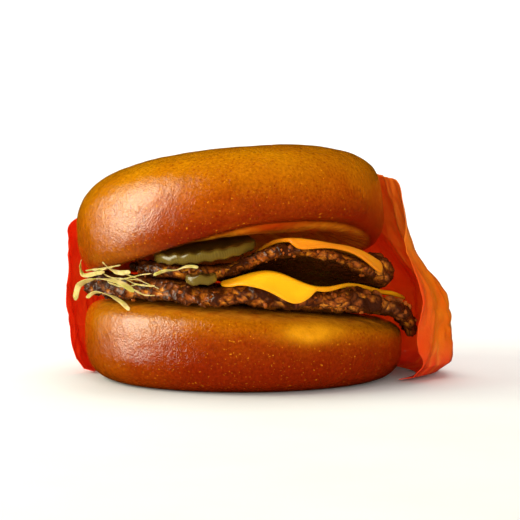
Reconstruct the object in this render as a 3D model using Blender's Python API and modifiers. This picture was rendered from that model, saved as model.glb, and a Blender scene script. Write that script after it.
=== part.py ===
"""Double cheeseburger in a waxed paper pocket.

Metres, +Z up. It stands on the flat base of its heel, whose centre is the origin. The open
side, where the filling shows, faces -Y, and the paper closes round the back.

The filling is a stack of sheets. Each is laid out flat, with a height above the heel's cut
face, and is then bent over what carries it, so that neighbours stay parallel.
"""
import math

import bmesh
import bpy
from mathutils import Matrix, Vector, noise

# Heel, the lower half of the bun
HEEL_RADIUS = 0.052
HEEL_HEIGHT = 0.0243
HEEL_FALL_TO_RIGHT = 0.08
HEEL_RISE_TO_FRONT = 0.06
HEEL_BASE_RADIUS = 0.040
HEEL_WAIST = 0.45
HEEL_TOP_POWER = 5.0
HEEL_FOOT_POWER = 2.4
HEEL_FOOT_LATITUDE = math.radians(60.0)
HEEL_OVAL = 0.008
HEEL_THREE_SIDED = 0.006

# Crown, the upper half of the bun, in its own frame above its rim
CROWN_RADIUS = 0.051
CROWN_RIM_RADIUS = 0.046
CROWN_BULGE = 0.012
CROWN_HEIGHT = 0.0362
CROWN_POWER = 3.2
CROWN_BOXY_RIGHT = 0.5
CROWN_HOLLOW = 0.012
CROWN_CENTRE = Vector((-0.0033, 0.0, 0.0381))
CROWN_TILT_RIGHT = math.radians(4.4)
CROWN_TILT_BACK = math.radians(6.0)
CROWN_ARCH = 0.0097
CROWN_ARCH_ANGLE = math.radians(-62.0)
CROWN_ARCH_HALF = math.radians(95.0)
CROWN_UNDERSIDE_LATITUDE = math.radians(-34.0)
CROWN_UNDERSIDE_FILL = 0.6
CROWN_OVAL = 0.010
CROWN_THREE_SIDED = 0.006
CROWN_DENT = 0.0007
CROWN_DENTS_PER_METRE = 45.0

# The filling: heights are above the heel's cut face
GAP = 0.0005
LOOSE_GAP = 0.0006
PATTY_THICKNESS = 0.0042
CHEESE_THICKNESS = 0.0014
LOWER_PATTY_HEIGHT = GAP
LOWER_CHEESE_HEIGHT = LOWER_PATTY_HEIGHT + PATTY_THICKNESS + GAP
UPPER_PATTY_HEIGHT = LOWER_CHEESE_HEIGHT + CHEESE_THICKNESS + GAP
UPPER_CHEESE_HEIGHT = UPPER_PATTY_HEIGHT + PATTY_THICKNESS + LOOSE_GAP
CRAG_SIZE = 0.0062
CRAG_DEPTH = 0.0042
CRAG_THINNING = 0.30
CRAG_ON_FACE = 0.2

# Flat face of a slab as a share of its reach, then the share of its rings that cover it
PATTY_RIM = 0.92
PATTY_FACE_RINGS = 0.625
CHEESE_RIM = 0.965
CHEESE_FACE_RINGS = 5.0 / 7.0
PICKLE_RIM = 0.90
PICKLE_FACE_RINGS = 0.5
EDGE_POWER = 0.85

# How far each patty reaches from the axis, every 30 degrees from +X towards +Y
LOWER_PATTY_REACH = (0.0640, 0.0520, 0.0420, 0.0395, 0.0420, 0.0475,
                     0.0535, 0.0545, 0.0530, 0.0535, 0.0530, 0.0570)
UPPER_PATTY_REACH = (0.0510, 0.0470, 0.0400, 0.0370, 0.0370, 0.0350,
                     0.0350, 0.0400, 0.0500, 0.0455, 0.0540, 0.0530)

# The lower sheets bend down over the heel's right side and the front of the patty
RIGHT_BEND_START = 0.0462
RIGHT_BEND_INNER = 0.0064
RIGHT_BEND_ANGLE = math.radians(84.0)
FRONT_BEND_START = 0.0512
FRONT_BEND_INNER = 0.0016
FRONT_BEND_ANGLE = math.radians(62.0)
UPPER_BEND_INSET = 0.0012

# They sag past the heel's rim at the left and the front
SAG = 0.0022
SAG_START = 0.045
SAG_END = 0.055
SAG_RIGHT = 0.020
SAG_LEFT = -0.010

# The lower patty is thicker in two lumps at the front, and lifts all that lies on it
LUMP_HEIGHT = 0.0055
LUMP_CENTRE = 0.009
LUMP_HALF_WIDTH = 0.012
RIGHT_LUMP_HEIGHT = 0.0046
RIGHT_LUMP_CENTRE = 0.038
RIGHT_LUMP_HALF_WIDTH = 0.010

# It is thicker at the left too, where no cheese lies between the patties
FILL_HEIGHT = CHEESE_THICKNESS + GAP
FILL_START = -0.011
FILL_END = -0.020

# The upper sheets rise in an arch at the front right
ARCH_HEIGHT = 0.0075
ARCH_CENTRE = 0.0235
ARCH_HALF_WIDTH = 0.014
RISE_BACK = -0.005
RISE_FRONT = -0.042

# The upper patty is heaped up under the crown's right side, and lifts the cheese on it
HEAP_HEIGHT = 0.0080
HEAP_CENTRE = Vector((0.043, -0.008))
HEAP_HALF_WIDTH = 0.0115

# Cheese slices: sides from the front corner to the right and to the left, corner and turn
LOWER_CHEESE_SIDES = (0.074, 0.031)
LOWER_CHEESE_CORNER = Vector((0.0175, -0.0630))
LOWER_CHEESE_TURN = math.radians(60.0)
UPPER_CHEESE_SIDES = (0.035, 0.046)
UPPER_CHEESE_CORNER = Vector((0.0172, -0.0535))
UPPER_CHEESE_TURN = math.radians(29.0)
CHEESE_CORNER_POWER = 7.0
CHEESE_LOOSE = 0.0014
LOOSE_START = 0.034

# Pickle slices: radius, thickness, centre, turn with the front down, turn with the right up
PICKLE_CRINKLE = 0.00025
PICKLE_PITCH = 0.0044
PICKLE_OVAL = 0.05
PICKLES = {
    "pickle_slice_1": (0.0155, 0.0034, Vector((-0.0116, -0.0325, 0.0441)), math.radians(6.0), math.radians(8.0)),
    "pickle_slice_2": (0.0046, 0.0028, Vector((-0.0122, -0.0502, 0.0362)), math.radians(2.0), math.radians(3.0)),
}

# Shredded lettuce: distance from the axis, width, twist and the strip's line as x, z pairs
SHRED_THICKNESS = 0.0008
SHRED_STEP = 0.06
SHRED_TIP = 0.55
SHRED_TURN = 2.2
SHREDS = {
    "lettuce_shred_1": (0.0572, 0.0032, 0.3, ((-0.0535, 0.0270), (-0.0520, 0.0320), (-0.0475, 0.0345),
                                              (-0.0425, 0.0352), (-0.0375, 0.0345), (-0.0330, 0.0320))),
    "lettuce_shred_2": (0.0548, 0.0016, 1.2, ((-0.0515, 0.0400), (-0.0522, 0.0376), (-0.0508, 0.0352),
                                              (-0.0465, 0.0362), (-0.0430, 0.0372))),
    "lettuce_shred_3": (0.0572, 0.0024, 0.5, ((-0.0492, 0.0285), (-0.0458, 0.0308), (-0.0412, 0.0303),
                                              (-0.0372, 0.0285), (-0.0345, 0.0262))),
    "lettuce_shred_4": (0.0532, 0.0020, 0.9, ((-0.0440, 0.0400), (-0.0415, 0.0382), (-0.0385, 0.0372),
                                              (-0.0345, 0.0376))),
    "lettuce_shred_5": (0.0545, 0.0018, 0.4, ((-0.0270, 0.0372), (-0.0235, 0.0386), (-0.0200, 0.0390),
                                              (-0.0165, 0.0402), (-0.0130, 0.0400))),
}

# Paper pocket: thickness, then its distance from the axis at each height
PAPER_THICKNESS = 0.0005
PAPER_FOOT = 0.0007
PAPER_CLOSE = ((0.0007, 0.0500), (0.0016, 0.0535), (0.005, 0.0552), (0.014, 0.0558), (0.030, 0.0575),
               (0.042, 0.0562), (0.050, 0.0557), (0.058, 0.0545), (0.064, 0.0520), (0.068, 0.0492))
PAPER_FLARED = ((0.0007, 0.0580), (0.0016, 0.0650), (0.005, 0.0693), (0.012, 0.0690), (0.027, 0.0650),
                (0.036, 0.0590), (0.047, 0.0545), (0.058, 0.0522), (0.064, 0.0508), (0.068, 0.0490))
PAPER_LEFT_EDGE = ((0.0, 172.0), (0.010, 174.0), (0.030, 177.0), (0.040, 173.0), (0.052, 160.0), (0.068, 140.0))
PAPER_RIGHT_EDGE = ((0.0, -16.0), (0.010, -20.0), (0.030, -20.0), (0.040, -16.0), (0.060, -3.0), (0.068, 4.0))
PAPER_TOP = ((0.0, 0.0650), (0.15, 0.0665), (0.45, 0.0680), (0.70, 0.0670), (0.88, 0.0600), (1.0, 0.0500))
PAPER_FLARE_PEAK = 6.0
PAPER_FLARE_FRONT = 38.0
PAPER_FLARE_BACK = 62.0
PAPER_FOLD = 0.0011
PAPER_FOLDS = 9.0
PAPER_FOLD_WANDER = 1.5
PAPER_FOLD_LEAN = 2.0
PAPER_ROW_POWER = 1.5
PAPER_FOLD_TOP = 0.012
PAPER_SHIFT = 0.0022
PAPER_SHIFT_START = 0.030
PAPER_SHIFT_END = 0.045


def smooth(start, end, value):
    """0 before start, 1 past end, with an even S between."""
    share = max(0.0, min(1.0, (value - start) / (end - start)))
    return share * share * (3.0 - 2.0 * share)


def between(points, value):
    """A value read from a short list of places, straight from one to the next."""
    if value <= points[0][0]:
        return points[0][1]
    for (start, first), (end, second) in zip(points, points[1:]):
        if value <= end:
            return first + (second - first) * (value - start) / (end - start)
    return points[-1][1]


def eased(before, first, second, after, share):
    """A point of a Catmull-Rom curve between its second and third points."""
    slope_first = (second - before) / 2.0
    slope_second = (after - first) / 2.0
    square = share * share
    cube = square * share
    return (first * (2.0 * cube - 3.0 * square + 1.0) + slope_first * (cube - 2.0 * square + share)
            + second * (3.0 * square - 2.0 * cube) + slope_second * (cube - square))


def around(radii, angle):
    """A closed outline's radius at an angle, by a curve through even steps."""
    count = len(radii)
    place = (angle / math.tau * count) % count
    index = int(place)
    return eased(*(radii[(index + step) % count] for step in (-1, 0, 1, 2)), place - index)


def along_line(line, share):
    """A place on the smooth curve through a short list of points."""
    last = len(line) - 1
    place = min(max(share, 0.0), 1.0) * last
    index = min(int(place), last - 1)
    near = [Vector(line[min(max(index + step, 0), last)]) for step in (-1, 0, 1, 2)]
    return eased(*near, place - index)


def slab_ring(latitude, inner_share, rim):
    """Spreads a ball's rings evenly over a flat face up to its rim, then round the edge."""
    share = 1.0 - abs(latitude) / (math.pi / 2.0)
    if share <= inner_share:
        return rim * share / inner_share, math.copysign(1.0, latitude)
    turn = (share - inner_share) / (1.0 - inner_share) * math.pi / 2.0
    lift = max(0.0, math.cos(turn)) ** EDGE_POWER
    return rim + (1.0 - rim) * math.sin(turn) ** EDGE_POWER, math.copysign(lift, latitude)


def make_material(name, colour, roughness):
    """A plain finish in the colour that the photo shows."""
    material = bpy.data.materials.new(name)
    material.use_nodes = True
    shader = material.node_tree.nodes["Principled BSDF"]
    shader.inputs["Base Color"].default_value = (*colour, 1.0)
    shader.inputs["Roughness"].default_value = roughness
    shader.inputs["Metallic"].default_value = 0.0
    return material


def add_object(name, shape, material, collection):
    """A named object made from a bmesh, which is then freed."""
    mesh = bpy.data.meshes.new(name)
    shape.to_mesh(mesh)
    shape.free()
    mesh.materials.append(material)
    mesh.shade_smooth()
    thing = bpy.data.objects.new(name, mesh)
    collection.objects.link(thing)
    return thing


def shaped_ball(segments, rings, place):
    """A sphere whose every point moves to place(angle, latitude)."""
    shape = bmesh.new()
    bmesh.ops.create_uvsphere(shape, u_segments=segments, v_segments=rings, radius=1.0)
    for vertex in shape.verts:
        angle = math.atan2(vertex.co.y, vertex.co.x)
        latitude = math.asin(max(-1.0, min(1.0, vertex.co.z)))
        vertex.co = place(angle, latitude)
    return shape


def shaped_grid(columns, rows, place):
    """A grid whose every point moves to place(across, along), both from 0 to 1."""
    shape = bmesh.new()
    bmesh.ops.create_grid(shape, x_segments=columns, y_segments=rows, size=0.5)
    for vertex in shape.verts:
        vertex.co = place(vertex.co.x + 0.5, vertex.co.y + 0.5)
    bmesh.ops.triangulate(shape, faces=shape.faces[:])
    return shape


def cut_face(x, y):
    """Height of the heel's cut face, which falls to the right and rises to the front."""
    return HEEL_HEIGHT - HEEL_FALL_TO_RIGHT * x - HEEL_RISE_TO_FRONT * y


def heel_point(angle, latitude):
    """The heel: a superellipse above its waist, a rounded foot and a flat base below."""
    out = 1.0 + HEEL_OVAL * math.cos(2.0 * angle + 0.6) + HEEL_THREE_SIDED * math.cos(3.0 * angle)
    if latitude >= 0.0:
        radius = HEEL_RADIUS * math.cos(latitude) ** (2.0 / HEEL_TOP_POWER)
        share = HEEL_WAIST + (1.0 - HEEL_WAIST) * math.sin(latitude) ** (2.0 / HEEL_TOP_POWER)
    else:
        turn = min(1.0, -latitude / HEEL_FOOT_LATITUDE) * math.pi / 2.0
        inside = max(0.0, (-latitude - HEEL_FOOT_LATITUDE) / (math.pi / 2.0 - HEEL_FOOT_LATITUDE))
        foot = HEEL_RADIUS - HEEL_BASE_RADIUS
        radius = HEEL_BASE_RADIUS + foot * max(0.0, math.cos(turn)) ** (2.0 / HEEL_FOOT_POWER)
        radius *= 1.0 - inside
        share = HEEL_WAIST * (1.0 - math.sin(turn) ** (2.0 / HEEL_FOOT_POWER))
    x = radius * out * math.cos(angle)
    y = radius * out * math.sin(angle)
    return Vector((x, y, share * cut_face(x, y)))


def crown_point(angle, latitude):
    """The crown: a flat dome with a bulging wall, hollow below, its front rim arched up."""
    power = CROWN_POWER + CROWN_BOXY_RIGHT * math.cos(angle)
    if latitude >= 0.0:
        radius = CROWN_RADIUS * math.cos(latitude) ** (2.0 / power)
        height = CROWN_BULGE + (CROWN_HEIGHT - CROWN_BULGE) * math.sin(latitude) ** (2.0 / power)
    elif latitude >= CROWN_UNDERSIDE_LATITUDE:
        turn = latitude / CROWN_UNDERSIDE_LATITUDE * math.pi / 2.0
        radius = CROWN_RIM_RADIUS + (CROWN_RADIUS - CROWN_RIM_RADIUS) * math.cos(turn)
        height = CROWN_BULGE * (1.0 - math.sin(turn))
    else:
        share = (latitude - CROWN_UNDERSIDE_LATITUDE) / (-math.pi / 2.0 - CROWN_UNDERSIDE_LATITUDE)
        radius = CROWN_RIM_RADIUS * (1.0 - share)
        height = 0.0
    away = (angle - CROWN_ARCH_ANGLE + math.pi) % math.tau - math.pi
    arch = math.cos(away / CROWN_ARCH_HALF * math.pi / 2.0) ** 2 if abs(away) < CROWN_ARCH_HALF else 0.0
    if latitude < CROWN_UNDERSIDE_LATITUDE:
        hollow = CROWN_HOLLOW * (1.0 - (radius / CROWN_RIM_RADIUS) ** 3)
        height += hollow * (1.0 - CROWN_UNDERSIDE_FILL * arch * (radius / CROWN_RIM_RADIUS) ** 2)
    lift = CROWN_ARCH * arch * (1.0 - height / CROWN_HEIGHT) ** 2
    height += lift * min(1.0, (radius / CROWN_RIM_RADIUS) ** 4)
    wave = 1.0 + CROWN_OVAL * math.cos(2.0 * angle + 2.1) + CROWN_THREE_SIDED * math.cos(3.0 * angle + 0.4)
    point = Vector((radius * wave * math.cos(angle), radius * wave * math.sin(angle), height))
    soft = noise.noise(point * CROWN_DENTS_PER_METRE) * CROWN_DENT * smooth(0.0, CROWN_RIM_RADIUS, radius)
    point += point.normalized() * soft
    tilt = Matrix.Rotation(-CROWN_TILT_BACK, 3, "X") @ Matrix.Rotation(-CROWN_TILT_RIGHT, 3, "Y")
    return tilt @ point + CROWN_CENTRE


def bend(distance, height, start, inner, limit, middle):
    """Carries a sheet round a bend: how far out and how high a point lands."""
    if distance <= start:
        return distance, height
    turn = (distance - start) / (inner + middle)
    past = max(0.0, turn - limit) * (inner + middle)
    turn = min(turn, limit)
    out = start + (inner + height) * math.sin(turn) + past * math.cos(turn)
    return out, (inner + height) * math.cos(turn) - inner - past * math.sin(turn)


def heap(x, y):
    """How much thicker the upper patty is in its heap."""
    away = math.hypot(x - HEAP_CENTRE.x, y - HEAP_CENTRE.y)
    return HEAP_HEIGHT * math.exp(-(away / HEAP_HALF_WIDTH) ** 2)


def uneven(x, y):
    """How much thicker the lower patty is in its lumps and at the left."""
    return lump(x, y) + FILL_HEIGHT * smooth(FILL_START, FILL_END, x)


def over_heel(x, y, height):
    """Lays a point of the lower sheets on the heel and down its right side."""
    middle = LOWER_PATTY_HEIGHT + PATTY_THICKNESS / 2.0
    out, lift = bend(x, height, RIGHT_BEND_START, RIGHT_BEND_INNER, RIGHT_BEND_ANGLE, middle)
    sag = SAG * smooth(SAG_START, SAG_END, math.hypot(min(x, 0.0), y)) * smooth(SAG_RIGHT, SAG_LEFT, x)
    return Vector((out, y, cut_face(min(x, RIGHT_BEND_START), y) + lift - sag))


def loose(x):
    """How far the sheets above the lower patty stand off it where it starts to bend."""
    return CHEESE_LOOSE * smooth(LOOSE_START, RIGHT_BEND_START, x)


def over_lower_patty(x, y, height):
    """Lays a point of the lower cheese, whose front corner hangs over the patty's edge."""
    front, lift = bend(-y, height - LOWER_CHEESE_HEIGHT, FRONT_BEND_START, FRONT_BEND_INNER,
                       FRONT_BEND_ANGLE, CHEESE_THICKNESS / 2.0)
    return over_heel(x, -front, LOWER_CHEESE_HEIGHT + lump(x, -front) + lift + loose(x))


def rise(x, y, height, centre, half_width):
    """A rounded ridge that grows towards the front edge."""
    return height * math.exp(-((x - centre) / half_width) ** 2) * smooth(RISE_BACK, RISE_FRONT, y)


def lump(x, y):
    """The two thicker places at the front of the lower patty."""
    middle = rise(x, y, LUMP_HEIGHT, LUMP_CENTRE, LUMP_HALF_WIDTH)
    return middle + rise(x, y, RIGHT_LUMP_HEIGHT, RIGHT_LUMP_CENTRE, RIGHT_LUMP_HALF_WIDTH)


def over_lower_cheese(x, y, height):
    """Lays a point of the upper sheets, which arch at the front and sag at the right."""
    arch = rise(x, y, ARCH_HEIGHT, ARCH_CENTRE, ARCH_HALF_WIDTH)
    return Vector((x, y, cut_face(x, y) + height + lump(x, y) + arch + loose(x)))


def over_upper_patty(x, y, height):
    """Lays a point of the upper cheese, whose front edge hangs over the patty's edge."""
    reach = around(UPPER_PATTY_REACH, math.atan2(y, x)) - UPPER_BEND_INSET
    away = math.hypot(x, y)
    out, lift = bend(away, height - UPPER_CHEESE_HEIGHT, reach, FRONT_BEND_INNER,
                     FRONT_BEND_ANGLE, CHEESE_THICKNESS / 2.0)
    share = out / away if away > 0.0 else 1.0
    return over_lower_cheese(x * share, y * share, UPPER_CHEESE_HEIGHT + heap(x * share, y * share) + lift)


def patty_point(angle, latitude, reaches, base, lay, grow, seed):
    """A smashed patty: flat, with a craggy edge that only cuts inwards."""
    flat, lift = slab_ring(latitude, PATTY_FACE_RINGS, PATTY_RIM)
    x = around(reaches, angle) * flat * math.cos(angle)
    y = around(reaches, angle) * flat * math.sin(angle)
    spot = Vector((x, y, lift * PATTY_THICKNESS)) / CRAG_SIZE + Vector((seed, 0.0, 0.0))
    crag = max(0.0, min(1.0, 0.5 + 0.5 * noise.fractal(spot, 0.8, 2.1, 3)))
    edge = smooth(0.6, 1.0, flat)
    shrink = 1.0 - edge * crag * CRAG_DEPTH / HEEL_RADIUS
    x *= shrink
    y *= shrink
    half = (PATTY_THICKNESS + grow(x, y)) / 2.0
    height = base + half + lift * half * (1.0 - CRAG_THINNING * crag * max(CRAG_ON_FACE, edge))
    return lay(x, y, height)


def cheese_point(angle, latitude, sides, corner, turn, base, lay):
    """A melted slice: a rectangle with rounded corners and soft edges."""
    flat, lift = slab_ring(latitude, CHEESE_FACE_RINGS, CHEESE_RIM)
    rounding = abs(math.cos(angle)) ** CHEESE_CORNER_POWER + abs(math.sin(angle)) ** CHEESE_CORNER_POWER
    reach = flat / rounding ** (1.0 / CHEESE_CORNER_POWER)
    along = sides[0] / 2.0 * (1.0 + reach * math.cos(angle))
    across = sides[1] / 2.0 * (1.0 + reach * math.sin(angle))
    x = corner.x + along * math.cos(turn) - across * math.sin(turn)
    y = corner.y + along * math.sin(turn) + across * math.cos(turn)
    return lay(x, y, base + CHEESE_THICKNESS / 2.0 * (1.0 + lift))


def pickle_point(angle, latitude, radius, thickness, tilt):
    """A pickle slice: a thick oval disc with shallow ridges across its faces."""
    flat, lift = slab_ring(latitude, PICKLE_FACE_RINGS, PICKLE_RIM)
    rim = 1.0 + PICKLE_OVAL * math.cos(2.0 * angle + 0.5)
    x = radius * rim * flat * math.cos(angle)
    y = radius * rim * flat * math.sin(angle)
    ridge = PICKLE_CRINKLE * math.cos(x / PICKLE_PITCH * math.tau)
    return tilt @ Vector((x, y, lift * thickness / 2.0 + ridge))


def shred_point(across, along, reach, width, twist, line):
    """A strip of leaf along its line, wrapped round the burger's front and twisted."""
    flat = along_line(line, along)
    direction = (along_line(line, along + SHRED_STEP) - along_line(line, along - SHRED_STEP)).normalized()
    side = (across - 0.5) * width * (SHRED_TIP + (1.0 - SHRED_TIP) * math.sin(math.pi * along))
    turn = twist + SHRED_TURN * along
    x = flat.x - direction.y * side * math.cos(turn)
    z = flat.y + direction.x * side * math.cos(turn)
    out = reach + side * math.sin(turn)
    return Vector((x, -math.sqrt(out * out - x * x), z))


def paper_point(across, along):
    """The pocket: across runs from its right edge round the back to its left edge."""
    top = between(PAPER_TOP, across)
    height = PAPER_FOOT + (top - PAPER_FOOT) * along ** PAPER_ROW_POWER
    right = between(PAPER_RIGHT_EDGE, height)
    left = between(PAPER_LEFT_EDGE, height)
    angle = right + (left - right) * across
    close = between(PAPER_CLOSE, height)
    flared = between(PAPER_FLARED, height)
    if angle < PAPER_FLARE_PEAK:
        flare = 1.0 - smooth(0.0, PAPER_FLARE_FRONT, PAPER_FLARE_PEAK - angle)
    else:
        flare = 1.0 - smooth(0.0, PAPER_FLARE_BACK, angle - PAPER_FLARE_PEAK)
    turn = math.radians(angle)
    wander = PAPER_FOLD_WANDER * math.sin(2.0 * turn + along * PAPER_FOLD_LEAN)
    fold = 0.5 + 0.5 * math.sin(PAPER_FOLDS * turn + wander)
    reach = close + (flared - close) * flare + PAPER_FOLD * fold * smooth(0.0, PAPER_FOLD_TOP, height)
    shift = PAPER_SHIFT * smooth(PAPER_SHIFT_START, PAPER_SHIFT_END, height)
    return Vector((reach * math.cos(turn) - shift, reach * math.sin(turn), height))


def add_bun(collection):
    crust = make_material("bun_crust", (0.50, 0.17, 0.015), 0.32)
    add_object("bun_heel", shaped_ball(40, 14, heel_point), crust, collection)
    add_object("bun_crown", shaped_ball(44, 20, crown_point), crust, collection)


def add_patties(collection):
    meat = make_material("seared_beef", (0.16, 0.055, 0.02), 0.45)
    lower = shaped_ball(84, 16, lambda angle, latitude: patty_point(
        angle, latitude, LOWER_PATTY_REACH, LOWER_PATTY_HEIGHT, over_heel, uneven, 3.0))
    upper = shaped_ball(84, 16, lambda angle, latitude: patty_point(
        angle, latitude, UPPER_PATTY_REACH, UPPER_PATTY_HEIGHT, over_lower_cheese, heap, 11.0))
    add_object("patty_lower", lower, meat, collection)
    add_object("patty_upper", upper, meat, collection)


def add_cheese(collection):
    cheese = make_material("melted_cheese", (0.93, 0.45, 0.02), 0.35)
    lower = shaped_ball(38, 14, lambda angle, latitude: cheese_point(
        angle, latitude, LOWER_CHEESE_SIDES, LOWER_CHEESE_CORNER, LOWER_CHEESE_TURN,
        LOWER_CHEESE_HEIGHT, over_lower_patty))
    upper = shaped_ball(38, 14, lambda angle, latitude: cheese_point(
        angle, latitude, UPPER_CHEESE_SIDES, UPPER_CHEESE_CORNER, UPPER_CHEESE_TURN,
        UPPER_CHEESE_HEIGHT, over_upper_patty))
    add_object("cheese_lower", lower, cheese, collection)
    add_object("cheese_upper", upper, cheese, collection)


def add_pickles(collection):
    pickle = make_material("pickle", (0.20, 0.17, 0.03), 0.35)
    for name, (radius, thickness, centre, tilt_front, tilt_right) in PICKLES.items():
        tilt = Matrix.Rotation(tilt_front, 3, "X") @ Matrix.Rotation(-tilt_right, 3, "Y")
        slice_shape = shaped_ball(28, 8, lambda angle, latitude: pickle_point(
            angle, latitude, radius, thickness, tilt))
        bmesh.ops.translate(slice_shape, verts=slice_shape.verts[:], vec=centre)
        add_object(name, slice_shape, pickle, collection)


def add_shell(name, shape, material, thickness, collection):
    """An open surface with a wall, half of it on each side."""
    thing = add_object(name, shape, material, collection)
    wall = thing.modifiers.new("wall", "SOLIDIFY")
    wall.thickness = thickness
    wall.offset = 0.0


def add_lettuce(collection):
    leaf = make_material("lettuce", (0.75, 0.62, 0.25), 0.4)
    for name, (reach, width, twist, line) in SHREDS.items():
        strip = shaped_grid(1, 10, lambda across, along: shred_point(across, along, reach, width, twist, line))
        add_shell(name, strip, leaf, SHRED_THICKNESS, collection)


def add_paper(collection):
    paper = make_material("waxed_paper", (0.72, 0.045, 0.015), 0.3)
    add_shell("paper_pocket", shaped_grid(36, 12, paper_point), paper, PAPER_THICKNESS, collection)


def main():
    for thing in list(bpy.data.objects):
        bpy.data.objects.remove(thing, do_unlink=True)
    collection = bpy.data.collections.new("double_cheeseburger")
    bpy.context.scene.collection.children.link(collection)
    add_bun(collection)
    add_patties(collection)
    add_cheese(collection)
    add_pickles(collection)
    add_lettuce(collection)
    add_paper(collection)


main()
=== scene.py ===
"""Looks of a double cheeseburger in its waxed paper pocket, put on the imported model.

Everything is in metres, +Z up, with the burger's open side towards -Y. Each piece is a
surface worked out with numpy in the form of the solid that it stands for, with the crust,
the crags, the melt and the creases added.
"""
import math

import bpy
import numpy as np
from bpy.props import FloatProperty, FloatVectorProperty, PointerProperty
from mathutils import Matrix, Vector


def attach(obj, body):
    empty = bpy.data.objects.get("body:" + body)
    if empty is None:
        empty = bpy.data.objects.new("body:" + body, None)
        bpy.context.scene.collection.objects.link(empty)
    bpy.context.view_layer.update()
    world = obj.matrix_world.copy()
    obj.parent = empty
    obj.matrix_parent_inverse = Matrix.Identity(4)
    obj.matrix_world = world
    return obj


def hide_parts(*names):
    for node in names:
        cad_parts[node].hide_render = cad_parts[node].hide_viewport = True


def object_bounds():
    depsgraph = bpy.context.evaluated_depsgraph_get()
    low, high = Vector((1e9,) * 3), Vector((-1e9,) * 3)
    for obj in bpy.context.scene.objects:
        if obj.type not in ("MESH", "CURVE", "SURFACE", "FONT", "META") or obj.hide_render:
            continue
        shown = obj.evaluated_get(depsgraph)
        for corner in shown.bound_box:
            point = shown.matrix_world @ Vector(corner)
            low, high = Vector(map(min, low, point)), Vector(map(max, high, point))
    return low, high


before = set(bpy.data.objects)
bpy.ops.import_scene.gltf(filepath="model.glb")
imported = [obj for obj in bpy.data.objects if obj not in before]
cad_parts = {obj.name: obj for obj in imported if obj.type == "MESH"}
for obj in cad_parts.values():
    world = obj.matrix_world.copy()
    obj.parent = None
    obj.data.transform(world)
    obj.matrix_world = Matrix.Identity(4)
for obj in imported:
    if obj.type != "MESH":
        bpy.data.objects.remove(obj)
CAD_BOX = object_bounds()

bl_info = {
    "name": "Double cheeseburger",
    "version": (1, 0, 0),
    "blender": (4, 5, 0),
    "location": "View3D > Sidebar > Burger",
    "description": "Dresses the packed model of a double cheeseburger in its paper pocket",
    "category": "Object",
}

BODY = "root"
TAU = 2.0 * math.pi

# How fine the surfaces are: rings or rows down, columns round or across
CROWN_RINGS = 210
HEEL_RINGS = 170
BUN_COLUMNS = 400
PATTY_COLUMNS = 880
CHEESE_COLUMNS = 360
PICKLE_COLUMNS = 260
SHRED_STEPS = 90
SHRED_SIDES = 24
BIT_RINGS = 10
BIT_COLUMNS = 16
PAPER_ROWS = 150
PAPER_COLUMNS = 300

# Bun
HEEL_RADIUS = 0.052
HEEL_HEIGHT = 0.0243
HEEL_FALL_TO_RIGHT = 0.08
HEEL_RISE_TO_FRONT = 0.06
HEEL_BASE_RADIUS = 0.040
HEEL_WAIST = 0.45
HEEL_TOP_POWER = 5.0
HEEL_FOOT_POWER = 2.4
HEEL_OVAL = 0.008
HEEL_THREE_SIDED = 0.006
CROWN_RADIUS = 0.051
CROWN_RIM_RADIUS = 0.046
CROWN_BULGE = 0.012
CROWN_HEIGHT = 0.0362
CROWN_POWER = 3.2
CROWN_BOXY_RIGHT = 0.5
CROWN_HOLLOW = 0.012
CROWN_UNDERSIDE_FILL = 0.6
CROWN_OVAL = 0.010
CROWN_THREE_SIDED = 0.006
CROWN_CENTRE = np.array((-0.0033, 0.0, 0.0381))
CROWN_TILT_RIGHT = math.radians(4.4)
CROWN_TILT_BACK = math.radians(6.0)
CROWN_ARCH = 0.0097
CROWN_ARCH_ANGLE = math.radians(-62.0)
CROWN_ARCH_HALF = math.radians(95.0)

# Crust: dents, puckers and crumb in the relief, patches of colour, painted key light that makes it
# lighter to the left, sauce and a smear
CROWN_DENT_SIZE = 0.020
HEEL_DENT_SIZE = 0.018
CROWN_PATCH_SIZE = 0.018
HEEL_PATCH_SIZE = 0.016
PUCKER_SIZE = 0.0042
PUCKER_SHARE = 0.22
CRUMB_SIZE = 0.0028
CRUMB_DEPTH = 0.00035
PALE_START = -0.012
PALE_FULL = -0.042
SAUCE_ANGLE = -1.25
SAUCE_SPREAD = 0.22
SMEAR_PLACE = (0.022, 0.0195)
SMEAR_SPREAD = (0.008, 0.0030)
PORE_COLOUR = (0.234, 0.013, 0.00078)
GLINT_COLOUR = (0.68, 0.25, 0.006)
STAIN_COLOUR = (0.86, 0.36, 0.006)
SAUCE_COLOUR = (0.52, 0.045, 0.002)

# Filling: heights are above the heel's cut face
GAP = 0.0005
LOOSE_GAP = 0.0006
PATTY_THICKNESS = 0.0042
CHEESE_THICKNESS = 0.0014
LOWER_PATTY_HEIGHT = GAP
LOWER_CHEESE_HEIGHT = LOWER_PATTY_HEIGHT + PATTY_THICKNESS + GAP
UPPER_PATTY_HEIGHT = LOWER_CHEESE_HEIGHT + CHEESE_THICKNESS + GAP
UPPER_CHEESE_HEIGHT = UPPER_PATTY_HEIGHT + PATTY_THICKNESS + LOOSE_GAP
LOWER_PATTY_REACH = (0.0640, 0.0520, 0.0420, 0.0395, 0.0420, 0.0475,
                     0.0535, 0.0545, 0.0530, 0.0535, 0.0530, 0.0570)
UPPER_PATTY_REACH = (0.0510, 0.0470, 0.0400, 0.0370, 0.0370, 0.0350,
                     0.0350, 0.0400, 0.0500, 0.0455, 0.0540, 0.0530)

# Bends: where they start, their inner radius and how far they turn
RIGHT_BEND = (0.0462, 0.0064, math.radians(84.0))
FRONT_BEND = (0.0512, 0.0016, math.radians(62.0))
UPPER_BEND_INSET = 0.0012

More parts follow.
